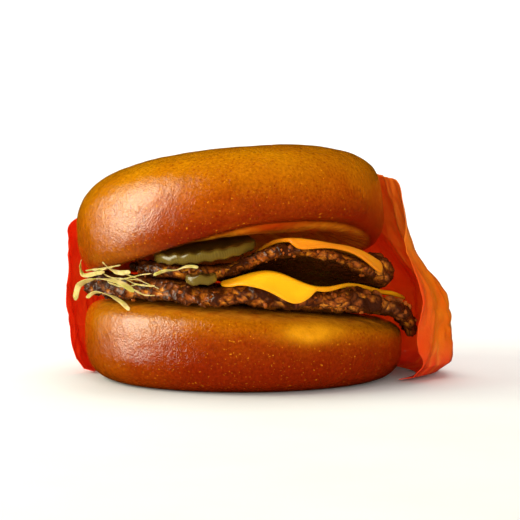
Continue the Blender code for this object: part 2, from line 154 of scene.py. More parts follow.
# Ridges: height, centre and half width; the heap has a centre in x and in y
LUMP = (0.0055, 0.009, 0.012)
RIGHT_LUMP = (0.0046, 0.038, 0.010)
ARCH = (0.0075, 0.0235, 0.014)
HEAP = (0.0080, 0.043, -0.008, 0.0115)
RISE_BACK = -0.005
RISE_FRONT = -0.042

# Where the lower patty fills the gap at the left, where sheets lie loose, and where they sag
FILL_HEIGHT = CHEESE_THICKNESS + GAP
FILL_START = -0.011
FILL_END = -0.020
CHEESE_LOOSE = 0.0014
LOOSE_START = 0.034
SAG = 0.0022
SAG_REACH = (0.045, 0.055)
SAG_SIDE = (0.02, -0.01)

# Meat: crags cut the edge back, crumbs and grains roughen it, and a warp bends both
CRAG_SIZE = 0.0085
CRAG_DEPTH = 0.0042
CRAG_THINNING = 0.30
CRAG_ON_FACE = 0.2
CRAG_MOST = 0.0009
MEAT_CRUMB = 0.0027
MEAT_GRAIN = 0.0011
MEAT_WARP_SIZE = 0.0042
MEAT_WARP = 0.0026
MEAT_ROUGH_SIZE = 0.0065
MEAT_STRETCH = (0.62, 0.62, 1.0)

# Crisp bits: how many, rings of the edge, shares of the turn, smallest and largest radius
EDGE_BITS = (110, (36, 63), (0.50, 1.06), (0.0003, 0.0009))
SHELF_BITS = (90, (29, 37), (0.84, 0.955), (0.0007, 0.0017))
BIT_SQUASH = (0.6, 1.4)
BIT_DENT = 0.45
BIT_DENT_SIZE = 0.9

# Cheese slices: sides from the front corner to the right and to the left, corner and turn
MELT_SIZE = 0.009
MELT_DEPTH = 0.00022
CHEESE_CORNER_POWER = 7.0
LOWER_CHEESE = ((0.074, 0.031), (0.0175, -0.0630), math.radians(60.0))
UPPER_CHEESE = ((0.035, 0.046), (0.0172, -0.0535), math.radians(29.0))

# Pickle slices: radius, thickness, centre, turn with the front down, turn with the right up
PICKLE_PITCH = 0.0044
PICKLE_CRINKLE = 0.00025
PICKLE_OVAL = 0.05
PICKLE_STREAKS = 110.0
PICKLE_NICK = 0.002
PICKLE_FLESH = 0.00015
PICKLE_FLESH_SIZE = 0.0022
PICKLE_STREAK_SIZE = 0.003
PICKLES = {
    "pickle_slice_1": (0.0155, 0.0034, (-0.0116, -0.0325, 0.0441), math.radians(6.0), math.radians(8.0)),
    "pickle_slice_2": (0.0046, 0.0028, (-0.0122, -0.0502, 0.0362), math.radians(2.0), math.radians(3.0)),
}

# Shredded lettuce: distance from the axis, width, twist and the strip's line as x, z pairs
SHRED_THICKNESS = 0.0003
SHRED_STEP = 0.06
SHRED_TIP = 0.55
SHRED_TURN = 2.2
SHRED_RUFFLE = 0.0003
SHRED_RUFFLES = 30.0
SHRED_WAVE = 0.0002
SHRED_WAVES = 11.0
THREAD_START = (-0.052, -0.034)
THREAD_HEIGHT = 0.0355
THREAD_SLOPE = 0.07
THREAD_SPREAD = 0.0022
THREAD_STEP = 0.0034
THREAD_REACH = (0.0525, 0.0565)
THREAD_WIDTH = (0.0005, 0.0009)
SHREDS = {
    "lettuce_shred_1": (0.0572, 0.0032, 0.3, ((-0.0535, 0.0270), (-0.0520, 0.0320), (-0.0475, 0.0345),
                                              (-0.0425, 0.0352), (-0.0375, 0.0345), (-0.0330, 0.0320))),
    "lettuce_shred_2": (0.0548, 0.0016, 1.2, ((-0.0515, 0.0400), (-0.0522, 0.0376), (-0.0508, 0.0352),
                                              (-0.0465, 0.0362), (-0.0430, 0.0372))),
    "lettuce_shred_3": (0.0572, 0.0024, 0.5, ((-0.0492, 0.0285), (-0.0458, 0.0308), (-0.0412, 0.0303),
                                              (-0.0372, 0.0285), (-0.0345, 0.0262))),
    "lettuce_shred_4": (0.0532, 0.0020, 0.9, ((-0.0440, 0.0400), (-0.0415, 0.0382), (-0.0385, 0.0372),
                                              (-0.0345, 0.0376))),
    "lettuce_shred_5": (0.0545, 0.0018, 0.4, ((-0.0270, 0.0372), (-0.0235, 0.0386), (-0.0200, 0.0390),
                                              (-0.0165, 0.0402), (-0.0130, 0.0400))),
}

# Paper pocket: distance from the axis at each height, and where its edges run
PAPER_FOOT = 0.0007
PAPER_CLOSE = ((0.0007, 0.0500), (0.0016, 0.0535), (0.005, 0.0552), (0.014, 0.0558), (0.030, 0.0575),
               (0.042, 0.0562), (0.050, 0.0557), (0.058, 0.0545), (0.064, 0.0520), (0.068, 0.0492))
PAPER_FLARED = ((0.0007, 0.0580), (0.0016, 0.0650), (0.005, 0.0693), (0.012, 0.0690), (0.027, 0.0650),
                (0.036, 0.0590), (0.047, 0.0545), (0.058, 0.0522), (0.064, 0.0508), (0.068, 0.0490))
PAPER_LEFT_EDGE = ((0.0, 172.0), (0.010, 174.0), (0.030, 177.0),
                   (0.040, 173.0), (0.052, 160.0), (0.068, 140.0))
PAPER_RIGHT_EDGE = ((0.0, -16.0), (0.010, -20.0), (0.030, -20.0), (0.040, -16.0), (0.060, -3.0), (0.068, 4.0))
PAPER_TOP = ((0.0, 0.0650), (0.15, 0.0665), (0.45, 0.0680), (0.70, 0.0670), (0.88, 0.0600), (1.0, 0.0500))
PAPER_FLARE_PEAK = 6.0
PAPER_FLARE_FRONT = 38.0
PAPER_FLARE_BACK = 62.0
PAPER_FOLD = 0.0011
PAPER_FOLDS = 9.0
PAPER_FOLD_WANDER = 1.5
PAPER_FOLD_LEAN = 2.0
PAPER_FOLD_TOP = 0.012
PAPER_PLEATS = 17.0
PAPER_ROW_POWER = 1.5
PAPER_UNROLLED = 0.055
PAPER_SWAY_SIZE = 0.022
PAPER_SWAY = 0.006
PAPER_CONE_SIZE = 0.012
PAPER_LONG_FOLD = 0.007
PAPER_LONG_STRETCH = (1.0, 0.35, 1.0)
PAPER_SHORT_FOLD = 0.0035
PAPER_SHORT_STRETCH = (1.0, 0.7, 1.0)
PAPER_SHIFT = 0.0022
PAPER_SHIFT_START = 0.030
PAPER_SHIFT_END = 0.045
# Colour of the painted light: highlights along the folds and a lighter strip at the top of the flap
WORN_COLOUR = (0.95, 0.26, 0.03)

# Stage
FLOOR_FRONT = -3.0
FLOOR_BACK = 1.2
FLOOR_BEND = 0.5
FLOOR_TOP = 3.0
FLOOR_HALF_WIDTH = 4.0
WORLD_STRENGTH = 0.40
SENSOR_WIDTH = 36.0
VIEW_WIDTH = 0.172


def tint(name, description, value):
    """A colour setting."""
    return FloatVectorProperty(name=name, description=description, subtype="COLOR", size=3,
                               default=value, min=0.0, max=1.0)


def metres(name, description, value, least, most):
    """A setting in metres."""
    return FloatProperty(name=name, description=description, subtype="DISTANCE", unit="LENGTH",
                         default=value, min=least, max=most)


class BunSettings(bpy.types.PropertyGroup):
    """Colours and relief of the bun's crust."""
    gold: tint("Gold", "Crust where it is lightest", (0.52, 0.185, 0.0010))
    brown: tint("Brown", "Crust of the side walls", (0.34, 0.059, 0.0010))
    dark: tint("Dark", "Crust at the rims", (0.18, 0.010, 0.0006))
    crumb: tint("Crumb", "Cut bread", (0.85, 0.28, 0.012))
    relief: metres("Relief", "Depth of the crust's soft dents", 0.00045, 0.0, 0.002)


class PattySettings(bpy.types.PropertyGroup):
    """Colours and crags of the patties."""
    # Char also serves as the painted shade in the hollows and under the patty
    char: tint("Char", "Dark seared meat", (0.042, 0.0075, 0.0009))
    meat: tint("Meat", "Reddish brown meat", (0.36, 0.078, 0.007))
    fat: tint("Fat", "Pale greasy bits", (0.85, 0.30, 0.020))
    crag: metres("Crag", "Depth of the meat's crumbs", 0.0011, 0.0, 0.003)


class CheeseSettings(bpy.types.PropertyGroup):
    """Colours of the melted slices."""
    colour: tint("Cheese", "Melted cheese", (0.93, 0.40, 0.004))
    # The edge colour also serves as the painted shade of the upper slice
    edge: tint("Edge", "Cheese where it is thin or browned", (0.62, 0.19, 0.004))


class GreensSettings(bpy.types.PropertyGroup):
    """Colours of the pickle and the lettuce."""
    pickle: tint("Pickle", "Pickle flesh", (0.09, 0.046, 0.005))
    skin: tint("Skin", "Pickle's pale streaked rim", (0.155, 0.098, 0.011))
    lettuce: tint("Lettuce", "Pale shredded leaf", (0.60, 0.45, 0.17))
    leaf: tint("Leaf", "Greener part of the leaf", (0.38, 0.34, 0.06))


class PaperSettings(bpy.types.PropertyGroup):
    """Colours and creases of the waxed paper."""
    red: tint("Red", "Waxed paper", (0.84, 0.045, 0.010))
    # Lit is painted light: the orange of the flap where light comes through
    lit: tint("Lit", "Paper that light comes through", (0.84, 0.165, 0.001))
    crease: metres("Crease", "Depth of the creases", 0.0019, 0.0, 0.004)
    wall: metres("Wall", "Thickness of the sheet", 0.00022, 0.0001, 0.001)


class StageSettings(bpy.types.PropertyGroup):
    """Camera and light."""
    elevation: FloatProperty(name="Elevation", description="How far the camera looks down", subtype="ANGLE",
                             unit="ROTATION", default=math.radians(4.0))
    distance: metres("Distance", "From the camera to the burger", 0.70, 0.2, 5.0)
    key_power: FloatProperty(name="Key power", description="Softbox at the left", subtype="POWER",
                             unit="POWER", default=5.0, min=0.0)


def smooth(start, end, value):
    """0 before start, 1 past end, with an even S between."""
    share = np.clip((value - start) / (end - start), 0.0, 1.0)
    return share * share * (3.0 - 2.0 * share)


def between(points, value):
    """A value read from a short list of places, straight from one to the next."""
    places, values = np.array(points).T
    return np.interp(value, places, values)


def eased(before, first, second, after, share):
    """Catmull-Rom: the cubic from second to third point whose slopes aim at their neighbours."""
    slope_first = (second - before) / 2.0
    slope_second = (after - first) / 2.0
    square = share * share
    cube = square * share
    return (first * (2.0 * cube - 3.0 * square + 1.0) + slope_first * (cube - 2.0 * square + share)
            + second * (3.0 * square - 2.0 * cube) + slope_second * (cube - square))


def around(radii, angle):
    """A closed outline's radius at each angle, by a cubic through even steps."""
    radii = np.array(radii)
    place = (angle / TAU * len(radii)) % len(radii)
    index = place.astype(int)
    return eased(*(radii[(index + step) % len(radii)] for step in (-1, 0, 1, 2)), place - index)


def along_line(line, share):
    """Points on the smooth curve through a short list, at each share of its length."""
    line = np.array(line)
    last = len(line) - 1
    place = np.clip(share, 0.0, 1.0) * last
    index = np.minimum(place.astype(int), last - 1)
    near = [line[np.clip(index + step, 0, last)] for step in (-1, 0, 1, 2)]
    return eased(*near, (place - index)[..., None])


def lattice(cell, seed):
    """A random number from 0 to 1 for each whole-number cell, the same each run."""
    mixed = (cell[..., 0] * 73856093) ^ (cell[..., 1] * 19349663) ^ (cell[..., 2] * 83492791)
    mixed = (mixed ^ (seed * 40503)) & 0xFFFFFFFF
    mixed = ((mixed ^ (mixed >> 13)) * 1274126177) & 0xFFFFFFFF
    mixed = ((mixed ^ (mixed >> 15)) * 2246822519) & 0xFFFFFFFF
    return ((mixed ^ (mixed >> 16)) & 0xFFFFFF) / float(0xFFFFFF)


def soft_noise(points, size, seed):
    """Smooth noise from -1 to 1: random numbers on a cubic lattice, eased between."""
    place = points / size
    cell = np.floor(place).astype(np.int64)
    share = place - cell
    ease = share * share * (3.0 - 2.0 * share)
    total = np.zeros(points.shape[:-1])
    for corner in np.ndindex(2, 2, 2):
        step = np.array(corner)
        weight = np.prod(np.where(step == 1, ease, 1.0 - ease), axis=-1)
        total += weight * lattice(cell + step, seed)
    return 2.0 * total - 1.0


def layered_noise(points, size, seed, layers=3):
    """Soft noise with finer and shallower copies of itself on top."""
    total = sum(soft_noise(points, size / 2.1 ** layer, seed + layer) / 1.9 ** layer
                for layer in range(layers))
    return total / sum(1.9 ** -layer for layer in range(layers))


def cells(points, size, seed):
    """Distances, in cells, to the two nearest of points strewn one to a cell, and the nearest's number."""
    place = points / size
    cell = np.floor(place).astype(np.int64)
    near = np.full(points.shape[:-1], 9.0)
    second = np.full(points.shape[:-1], 9.0)
    number = np.zeros(points.shape[:-1])
    for corner in np.ndindex(3, 3, 3):
        home = cell + np.array(corner) - 1
        spot = home + np.stack([lattice(home, seed + axis) for axis in (0, 1, 2)], axis=-1)
        away = np.linalg.norm(place - spot, axis=-1)
        closer = away < near
        second = np.where(closer, near, np.minimum(second, away))
        number = np.where(closer, lattice(home, seed + 7), number)
        near = np.where(closer, away, near)
    return near, second, number


def full_turn(count):
    """The angles of a full turn in even steps, as a row."""
    return np.linspace(0.0, TAU, count, endpoint=False)[None, :]


def push_out(grid, depth):
    """Moves a closed form's points out along its normals, which are the cross product of the
    grid's two directions."""
    across = np.roll(grid, -1, axis=1) - np.roll(grid, 1, axis=1)
    normal = np.cross(across, np.gradient(grid, axis=0))
    size = np.linalg.norm(normal, axis=-1, keepdims=True)
    return grid + normal / np.maximum(size, 1e-12) * depth[..., None]


def make_mesh(points, faces, values=None):
    """A mesh from arrays of points and of faces, each face array with one number of corners."""
    mesh = bpy.data.meshes.new("surface")
    corners = np.concatenate([part.ravel() for part in faces])
    sizes = np.concatenate([np.full(len(part), part.shape[1]) for part in faces])
    mesh.vertices.add(len(points))
    mesh.vertices.foreach_set("co", points.astype(np.float32).ravel())
    mesh.loops.add(len(corners))
    mesh.loops.foreach_set("vertex_index", corners.astype(np.int32))
    mesh.polygons.add(len(sizes))
    mesh.polygons.foreach_set("loop_start", (np.cumsum(sizes) - sizes).astype(np.int32))
    mesh.update(calc_edges=True)
    mesh.shade_smooth()
    for key, value in (values or {}).items():
        stored = mesh.attributes.new(key, "FLOAT", "POINT")
        stored.data.foreach_set("value", value.astype(np.float32).ravel())
    return mesh


def strip_faces(rows, columns, closed):
    """Quads between the points of a grid, joined round its columns where it is closed."""
    index = np.arange(rows * columns).reshape(rows, columns)
    following = np.roll(index, -1, axis=1)
    if not closed:
        index, following = index[:, :-1], following[:, :-1]
    return np.stack([index[:-1], index[1:], following[1:], following[:-1]], axis=-1).reshape(-1, 4)


def closed_form(grid, values=None):
    """Solids from rings that run down from a top to a bottom, both closed with a fan. A grid of
    four dimensions holds several bodies."""
    rows, columns = grid.shape[-3:-1]
    bodies = grid.reshape(-1, rows, columns, 3)
    count = rows * columns
    index = np.arange(count).reshape(rows, columns)
    cap = np.stack([np.full(columns, count), index[0], np.roll(index[0], -1)], axis=-1)
    foot = np.stack([np.full(columns, count + 1), np.roll(index[-1], -1), index[-1]], axis=-1)
    poles = [bodies[:, :1].mean(2), bodies[:, -1:].mean(2)]
    points = np.concatenate([bodies.reshape(-1, count, 3), *poles], axis=1)
    ends = {key: np.concatenate([value.ravel(), [value[0].mean(), value[-1].mean()]])
            for key, value in (values or {}).items()}
    start = np.arange(len(bodies))[:, None, None] * (count + 2)
    faces = [(part[None] + start).reshape(-1, part.shape[1])
             for part in (strip_faces(rows, columns, True), np.concatenate([cap, foot]))]
    return make_mesh(points.reshape(-1, 3), faces, ends)


def add_piece(name, mesh, material, slot, *nodes):
    """An object that rides on the burger, wears the given material and stands for CAD nodes, which it hides.
    The slot is not used.
    """
    mesh.name = name
    piece = bpy.data.objects.new(name, mesh)
    bpy.context.scene.collection.objects.link(piece)
    mesh.materials.append(material)
    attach(piece, BODY)
    if nodes:
        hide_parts(*nodes)
    return piece


def add_node(tree, kind, inputs=None, **settings):
    """A shader node with its settings, and each input set to a value or linked to a socket."""
    made = tree.nodes.new(kind)
    for key, value in settings.items():
        setattr(made, key, value)
    for key, value in (inputs or {}).items():
        if isinstance(value, bpy.types.NodeSocket):
            tree.links.new(value, made.inputs[key])
        else:
            made.inputs[key].default_value = value
    return made


def colour(value):
    """Three numbers as a shader colour."""
    return (*value, 1.0)


def new_group(name, inputs, outputs):
    """An empty node group with named sockets, and its two ends."""
    group = bpy.data.node_groups.new(name, "ShaderNodeTree")
    for key, kind, value in inputs:
        socket = group.interface.new_socket(name=key, in_out="INPUT", socket_type=kind)
        socket.default_value = value
    for key, kind in outputs:
        group.interface.new_socket(name=key, in_out="OUTPUT", socket_type=kind)
    return group, group.nodes.new("NodeGroupInput"), group.nodes.new("NodeGroupOutput")


def patches_group():
    """Mixes two colours in cloudy patches, by noise that is stretched from low to high."""
    known = bpy.data.node_groups.get("cloudy_patches")
    if known:
        return known
    group, start, end = new_group(
        "cloudy_patches",
        [("First", "NodeSocketColor", (1.0, 1.0, 1.0, 1.0)),
         ("Second", "NodeSocketColor", (0.0, 0.0, 0.0, 1.0)),
         ("Size", "NodeSocketFloat", 0.01), ("Detail", "NodeSocketFloat", 4.0),
         ("Low", "NodeSocketFloat", 0.35), ("High", "NodeSocketFloat", 0.65)],
        [("Color", "NodeSocketColor"), ("Mask", "NodeSocketFloat")])
    place = add_node(group, "ShaderNodeTexCoord")
    scale = add_node(group, "ShaderNodeMath", {0: 1.0, 1: start.outputs["Size"]}, operation="DIVIDE")
    noise = add_node(group, "ShaderNodeTexNoise", {
        "Vector": place.outputs["Object"], "Scale": scale.outputs[0], "Detail": start.outputs["Detail"]})
    mask = add_node(group, "ShaderNodeMapRange", {
        "Value": noise.outputs["Fac"], "From Min": start.outputs["Low"], "From Max": start.outputs["High"]})
    mix = add_node(group, "ShaderNodeMix", {
        "Factor": mask.outputs["Result"], "A": start.outputs["First"], "B": start.outputs["Second"]},
        data_type="RGBA")
    group.links.new(mix.outputs["Result"], end.inputs["Color"])
    group.links.new(mask.outputs["Result"], end.inputs["Mask"])
    return group


def grain_group():
    """Fine relief: cloudy noise and small rounded cells at two sizes, as one height."""
    known = bpy.data.node_groups.get("fine_grain")
    if known:
        return known
    group, start, end = new_group(
        "fine_grain",
        [("Size", "NodeSocketFloat", 0.001), ("Cells", "NodeSocketFloat", 0.5)],
        [("Height", "NodeSocketFloat")])
    place = add_node(group, "ShaderNodeTexCoord")
    scale = add_node(group, "ShaderNodeMath", {0: 1.0, 1: start.outputs["Size"]}, operation="DIVIDE")
    noise = add_node(group, "ShaderNodeTexNoise", {
        "Vector": place.outputs["Object"], "Scale": scale.outputs[0], "Detail": 5.0, "Roughness": 0.6})
    spots = add_node(group, "ShaderNodeTexVoronoi", {
        "Vector": place.outputs["Object"], "Scale": scale.outputs[0], "Smoothness": 0.4},
        feature="SMOOTH_F1")
    mix = add_node(group, "ShaderNodeMix", {
        "Factor": start.outputs["Cells"], "A": noise.outputs["Fac"], "B": spots.outputs["Distance"]},
        data_type="FLOAT")
    group.links.new(mix.outputs["Result"], end.inputs["Height"])
    return group


def new_material(name):
    """An empty material: its node tree and its Principled shader."""
    material = bpy.data.materials.new(name)
    material.use_nodes = True
    return material, material.node_tree, material.node_tree.nodes["Principled BSDF"]


def patches(tree, first, second, size, detail, low, high):
    """Cloudy patches of two colours: how wide and how fine, and where they begin and end."""
    made = add_node(tree, "ShaderNodeGroup", {
        "First": colour(first), "Second": colour(second), "Size": size, "Detail": detail,
        "Low": low, "High": high}, node_tree=patches_group())
    return made.outputs["Color"]


def shaded_patches(tree, tone, share, size, detail, low, high):
    """Cloudy patches of a colour and of a deeper copy of it."""
    return patches(tree, tone, np.array(tone) * share, size, detail, low, high)


def cloud_mask(tree, size, detail, low, high):
    """Cloudy patches as a number from 0 to 1."""
    made = add_node(tree, "ShaderNodeGroup", {
        "Size": size, "Detail": detail, "Low": low, "High": high}, node_tree=patches_group())
    return made.outputs["Mask"]


def mix_colours(tree, factor, first, second, blend="MIX"):
    """Two colours mixed by a factor: the node's sockets 6 and 7, and its output 2."""
    mixed = add_node(tree, "ShaderNodeMix", {"Factor": factor, 6: first, 7: second},
                     data_type="RGBA", blend_type=blend)
    return mixed.outputs[2]


def attribute(tree, name):
    """A number stored on the piece's points."""
    return add_node(tree, "ShaderNodeAttribute", attribute_name=name).outputs["Fac"]


def finish(shader, values):
    """Sets the shader's own values."""
    for key, value in values.items():
        shader.inputs[key].default_value = value


def add_grain(tree, shader, *layers):
    """Layers of fine grain for the shader's normal: size, share of cells, strength and depth."""
    under = {}
    for size, cell_share, strength, depth in layers:
        grain = add_node(tree, "ShaderNodeGroup", {"Size": size, "Cells": cell_share},
                         node_tree=grain_group())
        bump = add_node(tree, "ShaderNodeBump", {
            "Height": grain.outputs["Height"], "Strength": strength, "Distance": depth, **under})
        under = {"Normal": bump.outputs["Normal"]}
    tree.links.new(bump.outputs["Normal"], shader.inputs["Normal"])
    return bump.outputs["Normal"]


def crust_material(settings):
    """Glossy egg-washed crust: gold above, brown below, dark at the rims, pale where cut; the gold is partly
    painted light and the glints are painted highlights.
    """
    material, tree, shader = new_material("glossy_crust")
    top = shaded_patches(tree, settings.gold, (0.86, 0.72, 0.7), 0.016, 5.0, 0.38, 0.68)
    wall = shaded_patches(tree, settings.brown, (0.82, 0.66, 0.6), 0.009, 6.0, 0.40, 0.66)
    baked = mix_colours(tree, attribute(tree, "bake"), top, wall)
    rims = mix_colours(tree, attribute(tree, "rim"), baked, colour(settings.dark))
    pores = cloud_mask(tree, 0.0010, 3.0, 0.42, 0.30)
    pored = mix_colours(tree, 0.35, mix_colours(tree, pores, rims, colour(PORE_COLOUR)), rims)
    # Painted highlights: pale glint specks stand in for light caught by the crust's bumps
    glints = mix_colours(tree, cloud_mask(tree, 0.0008, 2.0, 0.66, 0.78), pored, colour(GLINT_COLOUR))
    flecks = patches(tree, (0.80, 0.76, 0.70), (1.18, 1.20, 1.20), 0.0009, 3.0, 0.34, 0.66)
    flecked = mix_colours(tree, 1.0, glints, flecks, "MULTIPLY")
    cut = shaded_patches(tree, settings.crumb, (0.8, 0.6, 0.5), 0.003, 6.0, 0.40, 0.66)
    whole = mix_colours(tree, attribute(tree, "crumb"), flecked, cut)
    stained = mix_colours(tree, attribute(tree, "stain"), whole, colour(STAIN_COLOUR))
    sauced = mix_colours(tree, attribute(tree, "sauce"), stained, colour(SAUCE_COLOUR))
    tree.links.new(sauced, shader.inputs["Base Color"])
    finish(shader, {"Roughness": 0.4, "Specular IOR Level": 0.0, "Coat Weight": 1.0,
                    "Coat Roughness": 0.08, "Coat IOR": 1.8})
    skin = add_grain(tree, shader, (0.0024, 0.4, 1.0, 0.00028), (0.0006, 0.3, 1.0, 0.0002))
    tree.links.new(skin, shader.inputs["Coat Normal"])
    return material


def meat_material(settings):
    """Seared ground beef: char with painted shade in the hollows and underneath, reddish meat on the crumbs,
    greasy specks, and painted light on the crumbs' tops.
    """
    material, tree, shader = new_material("seared_beef_crust")
    seared = patches(tree, settings.char, settings.meat, 0.006, 6.0, 0.38, 0.60)
    grease = patches(tree, settings.meat, settings.fat, 0.0026, 6.0, 0.42, 0.66)
    # Painted light: the crumbs' raised tops get the lighter meat and grease
    crumbs = mix_colours(tree, attribute(tree, "crumb_top"), seared, grease)
    # Char with painted shade in the crevices and on the underside
    hollow = mix_colours(tree, attribute(tree, "hollow"), crumbs, colour(settings.char))
    tree.links.new(hollow, shader.inputs["Base Color"])
    rough = add_node(tree, "ShaderNodeMapRange", {
        "Value": cloud_mask(tree, 0.004, 4.0, 0.40, 0.60), "To Min": 0.26, "To Max": 0.55})
    tree.links.new(rough.outputs["Result"], shader.inputs["Roughness"])
    finish(shader, {"Specular IOR Level": 0.2, "Coat Weight": 0.4, "Coat Roughness": 0.12})
    add_grain(tree, shader, (0.0014, 0.6, 0.9, 0.0005), (0.0005, 0.5, 0.6, 0.0002))
    return material


def cheese_material(settings):
    """Melted cheese: smooth, soft-shining, deeper where it is thin or browned, and deeper on the upper slice
    as painted shade.
    """
    material, tree, shader = new_material("melted_slice")
    melted = shaded_patches(tree, settings.colour, (0.97, 0.84, 0.6), 0.012, 3.0, 0.40, 0.70)
    edged = mix_colours(tree, attribute(tree, "thin"), melted, colour(settings.edge))
    tree.links.new(edged, shader.inputs["Base Color"])
    finish(shader, {"Roughness": 0.34, "Specular IOR Level": 0.2, "Coat Weight": 0.2, "Coat Roughness": 0.2,
                    "Subsurface Weight": 0.35, "Subsurface Radius": (0.004, 0.002, 0.0004),
                    "Subsurface Scale": 0.5})
    add_grain(tree, shader, (0.0025, 0.2, 0.25, 0.0003))
    return material


def pickle_material(settings):
    """Wet pickle: dark olive faces with a paler, streaked rim."""
    material, tree, shader = new_material("pickled_cucumber")
    flesh = shaded_patches(tree, settings.pickle, (0.62, 0.66, 0.6), 0.003, 4.0, 0.38, 0.64)
    skinned = mix_colours(tree, attribute(tree, "skin"), flesh, colour(settings.skin))
    tree.links.new(skinned, shader.inputs["Base Color"])
    finish(shader, {"Roughness": 0.25, "Coat Weight": 0.3, "Coat Roughness": 0.2, "Subsurface Weight": 0.3,
                    "Subsurface Radius": (0.003, 0.003, 0.001), "Subsurface Scale": 0.5})
    add_grain(tree, shader, (0.0012, 0.5, 0.4, 0.0002))
    return material


def lettuce_material(settings):
    """Wet shredded leaf: creamy ribs that turn green in patches."""
    material, tree, shader = new_material("shredded_leaf")
    leaf = patches(tree, settings.lettuce, settings.leaf, 0.004, 4.0, 0.44, 0.66)
    tree.links.new(leaf, shader.inputs["Base Color"])
    finish(shader, {"Roughness": 0.35, "Specular IOR Level": 0.25, "Coat Weight": 0.1,
                    "Subsurface Weight": 0.4, "Subsurface Radius": (0.003, 0.003, 0.001),
                    "Subsurface Scale": 0.5})
    add_grain(tree, shader, (0.0008, 0.2, 0.4, 0.0002))
    return material


def paper_material(settings):
    """Waxed paper: glossy red, painted orange where light comes through, with pale painted highlights along
    the folds.
    """
    material, tree, shader = new_material("waxed_red_paper")
    red = shaded_patches(tree, settings.red, (0.86, 0.6, 0.6), 0.012, 5.0, 0.40, 0.66)
    lit = shaded_patches(tree, settings.lit, (0.95, 0.62, 0.6), 0.008, 5.0, 0.38, 0.66)
    glow = mix_colours(tree, attribute(tree, "glow"), red, lit)
    worn = mix_colours(tree, attribute(tree, "worn"), glow, colour(WORN_COLOUR))
    tree.links.new(worn, shader.inputs["Base Color"])
    finish(shader, {"Roughness": 0.3, "Specular IOR Level": 0.1, "Coat Weight": 0.6, "Coat Roughness": 0.1,
                    "Subsurface Weight": 0.35, "Subsurface Radius": (0.004, 0.0008, 0.0003),
                    "Subsurface Scale": 1.0})
    add_grain(tree, shader, (0.006, 0.3, 0.7, 0.0012), (0.0007, 0.2, 0.12, 0.0001))
    return material


def even_steps(radius, height, weight, count):
    """Where to cut a profile into steps of even weighted length, as places between its points."""
    step = np.hypot(np.diff(radius), np.diff(height)) * weight[1:]
    length = np.concatenate([[0.0], np.cumsum(step)])
    return np.interp(np.linspace(0.0, length[-1], count), length, np.arange(len(length)))


def pick(values, place):
    """Values read between whole places."""
    return np.interp(place, np.arange(len(values)), values)


def crown_section(step, power):
    """The crown's radius and height above its rim: the step runs to 1 down a superellipse dome,
    to 2 round a quarter ellipse in to the rim, and to 3 straight in to the axis."""
    up = np.clip(1.0 - step, 0.0, 1.0) * math.pi / 2.0
    roll = np.clip(step - 1.0, 0.0, 1.0) * math.pi / 2.0
    dome = CROWN_RADIUS * np.cos(up) ** (2.0 / power)
    wall = CROWN_RIM_RADIUS + (CROWN_RADIUS - CROWN_RIM_RADIUS) * np.cos(roll)
    radius = np.where(step <= 1.0, dome, wall * (1.0 - np.clip(step - 2.0, 0.0, 1.0)))
    high = CROWN_BULGE + (CROWN_HEIGHT - CROWN_BULGE) * np.sin(up) ** (2.0 / power)
    return radius, np.where(step <= 1.0, high, CROWN_BULGE * (1.0 - np.sin(roll)))


def crown_grid(rings, columns, relief):
    """The crown's surface: its section turned about the axis, boxier at the right, hollow below,
    arched at the front and tilted, with soft dents, puckers and a rough underside."""
    fine = np.linspace(0.0, 3.0, 3001)
    weight = np.where(fine > 2.0, 0.45, 1.0)
    step = pick(fine, even_steps(*crown_section(fine, CROWN_POWER), weight, rings + 2)[1:-1])[:, None]
    angle = full_turn(columns)
    radius, height = crown_section(step, CROWN_POWER + CROWN_BOXY_RIGHT * np.cos(angle))
    under = (step > 2.0) + 0.0 * angle
    away = (angle - CROWN_ARCH_ANGLE + math.pi) % TAU - math.pi
    arch = np.where(np.abs(away) < CROWN_ARCH_HALF, np.cos(away / CROWN_ARCH_HALF * math.pi / 2.0) ** 2, 0.0)
    rim_share = radius / CROWN_RIM_RADIUS
    hollow = CROWN_HOLLOW * (1.0 - rim_share ** 3) * (1.0 - CROWN_UNDERSIDE_FILL * arch * rim_share ** 2)
    high = height + np.where(under > 0.0, hollow, 0.0)
    high = high + CROWN_ARCH * arch * (1.0 - high / CROWN_HEIGHT) ** 2 * np.minimum(1.0, rim_share ** 4)
    wave = 1.0 + CROWN_OVAL * np.cos(2.0 * angle + 2.1) + CROWN_THREE_SIDED * np.cos(3.0 * angle + 0.4)
    flat = radius * wave
    grid = np.stack([flat * np.cos(angle), flat * np.sin(angle), high], axis=-1)
    dents = layered_noise(grid, CROWN_DENT_SIZE, 5) * relief
    puckers = soft_noise(grid * (1.0, 1.0, 1.7), PUCKER_SIZE, 9) * relief * PUCKER_SHARE
    crumb = under * layered_noise(grid, CRUMB_SIZE, 21) * CRUMB_DEPTH
    grid = push_out(grid, dents + puckers + crumb)
    wall = smooth(CROWN_HEIGHT * 0.92, CROWN_BULGE * 0.8, height)
    rim = smooth(CROWN_BULGE * 1.5, CROWN_BULGE * 0.1, height + 0.002 * layered_noise(grid, 0.008, 33))
    lean = (angle - SAUCE_ANGLE + math.pi) % TAU - math.pi
    # Painted key light: the left side, where the softbox and its highlight fall, gets less brown and less
    # dark rim
    paler = smooth(PALE_START, PALE_FULL, grid[..., 0])
    baked = wall * (1.0 - 0.4 * paler) + 0.35 * layered_noise(grid, CROWN_PATCH_SIZE, 31)
    values = {
        "bake": np.clip(baked, 0.0, 1.0),
        "rim": (1.0 - under) * (1.0 - 0.5 * paler) * rim,
        "crumb": under * smooth(1.0, 0.95, rim_share),
        "stain": np.zeros_like(under),
        "sauce": under * smooth(0.80, 0.95, rim_share) * np.exp(-(lean / SAUCE_SPREAD) ** 2),
    }
    return tilted(grid, CROWN_TILT_RIGHT, CROWN_TILT_BACK) + CROWN_CENTRE, values


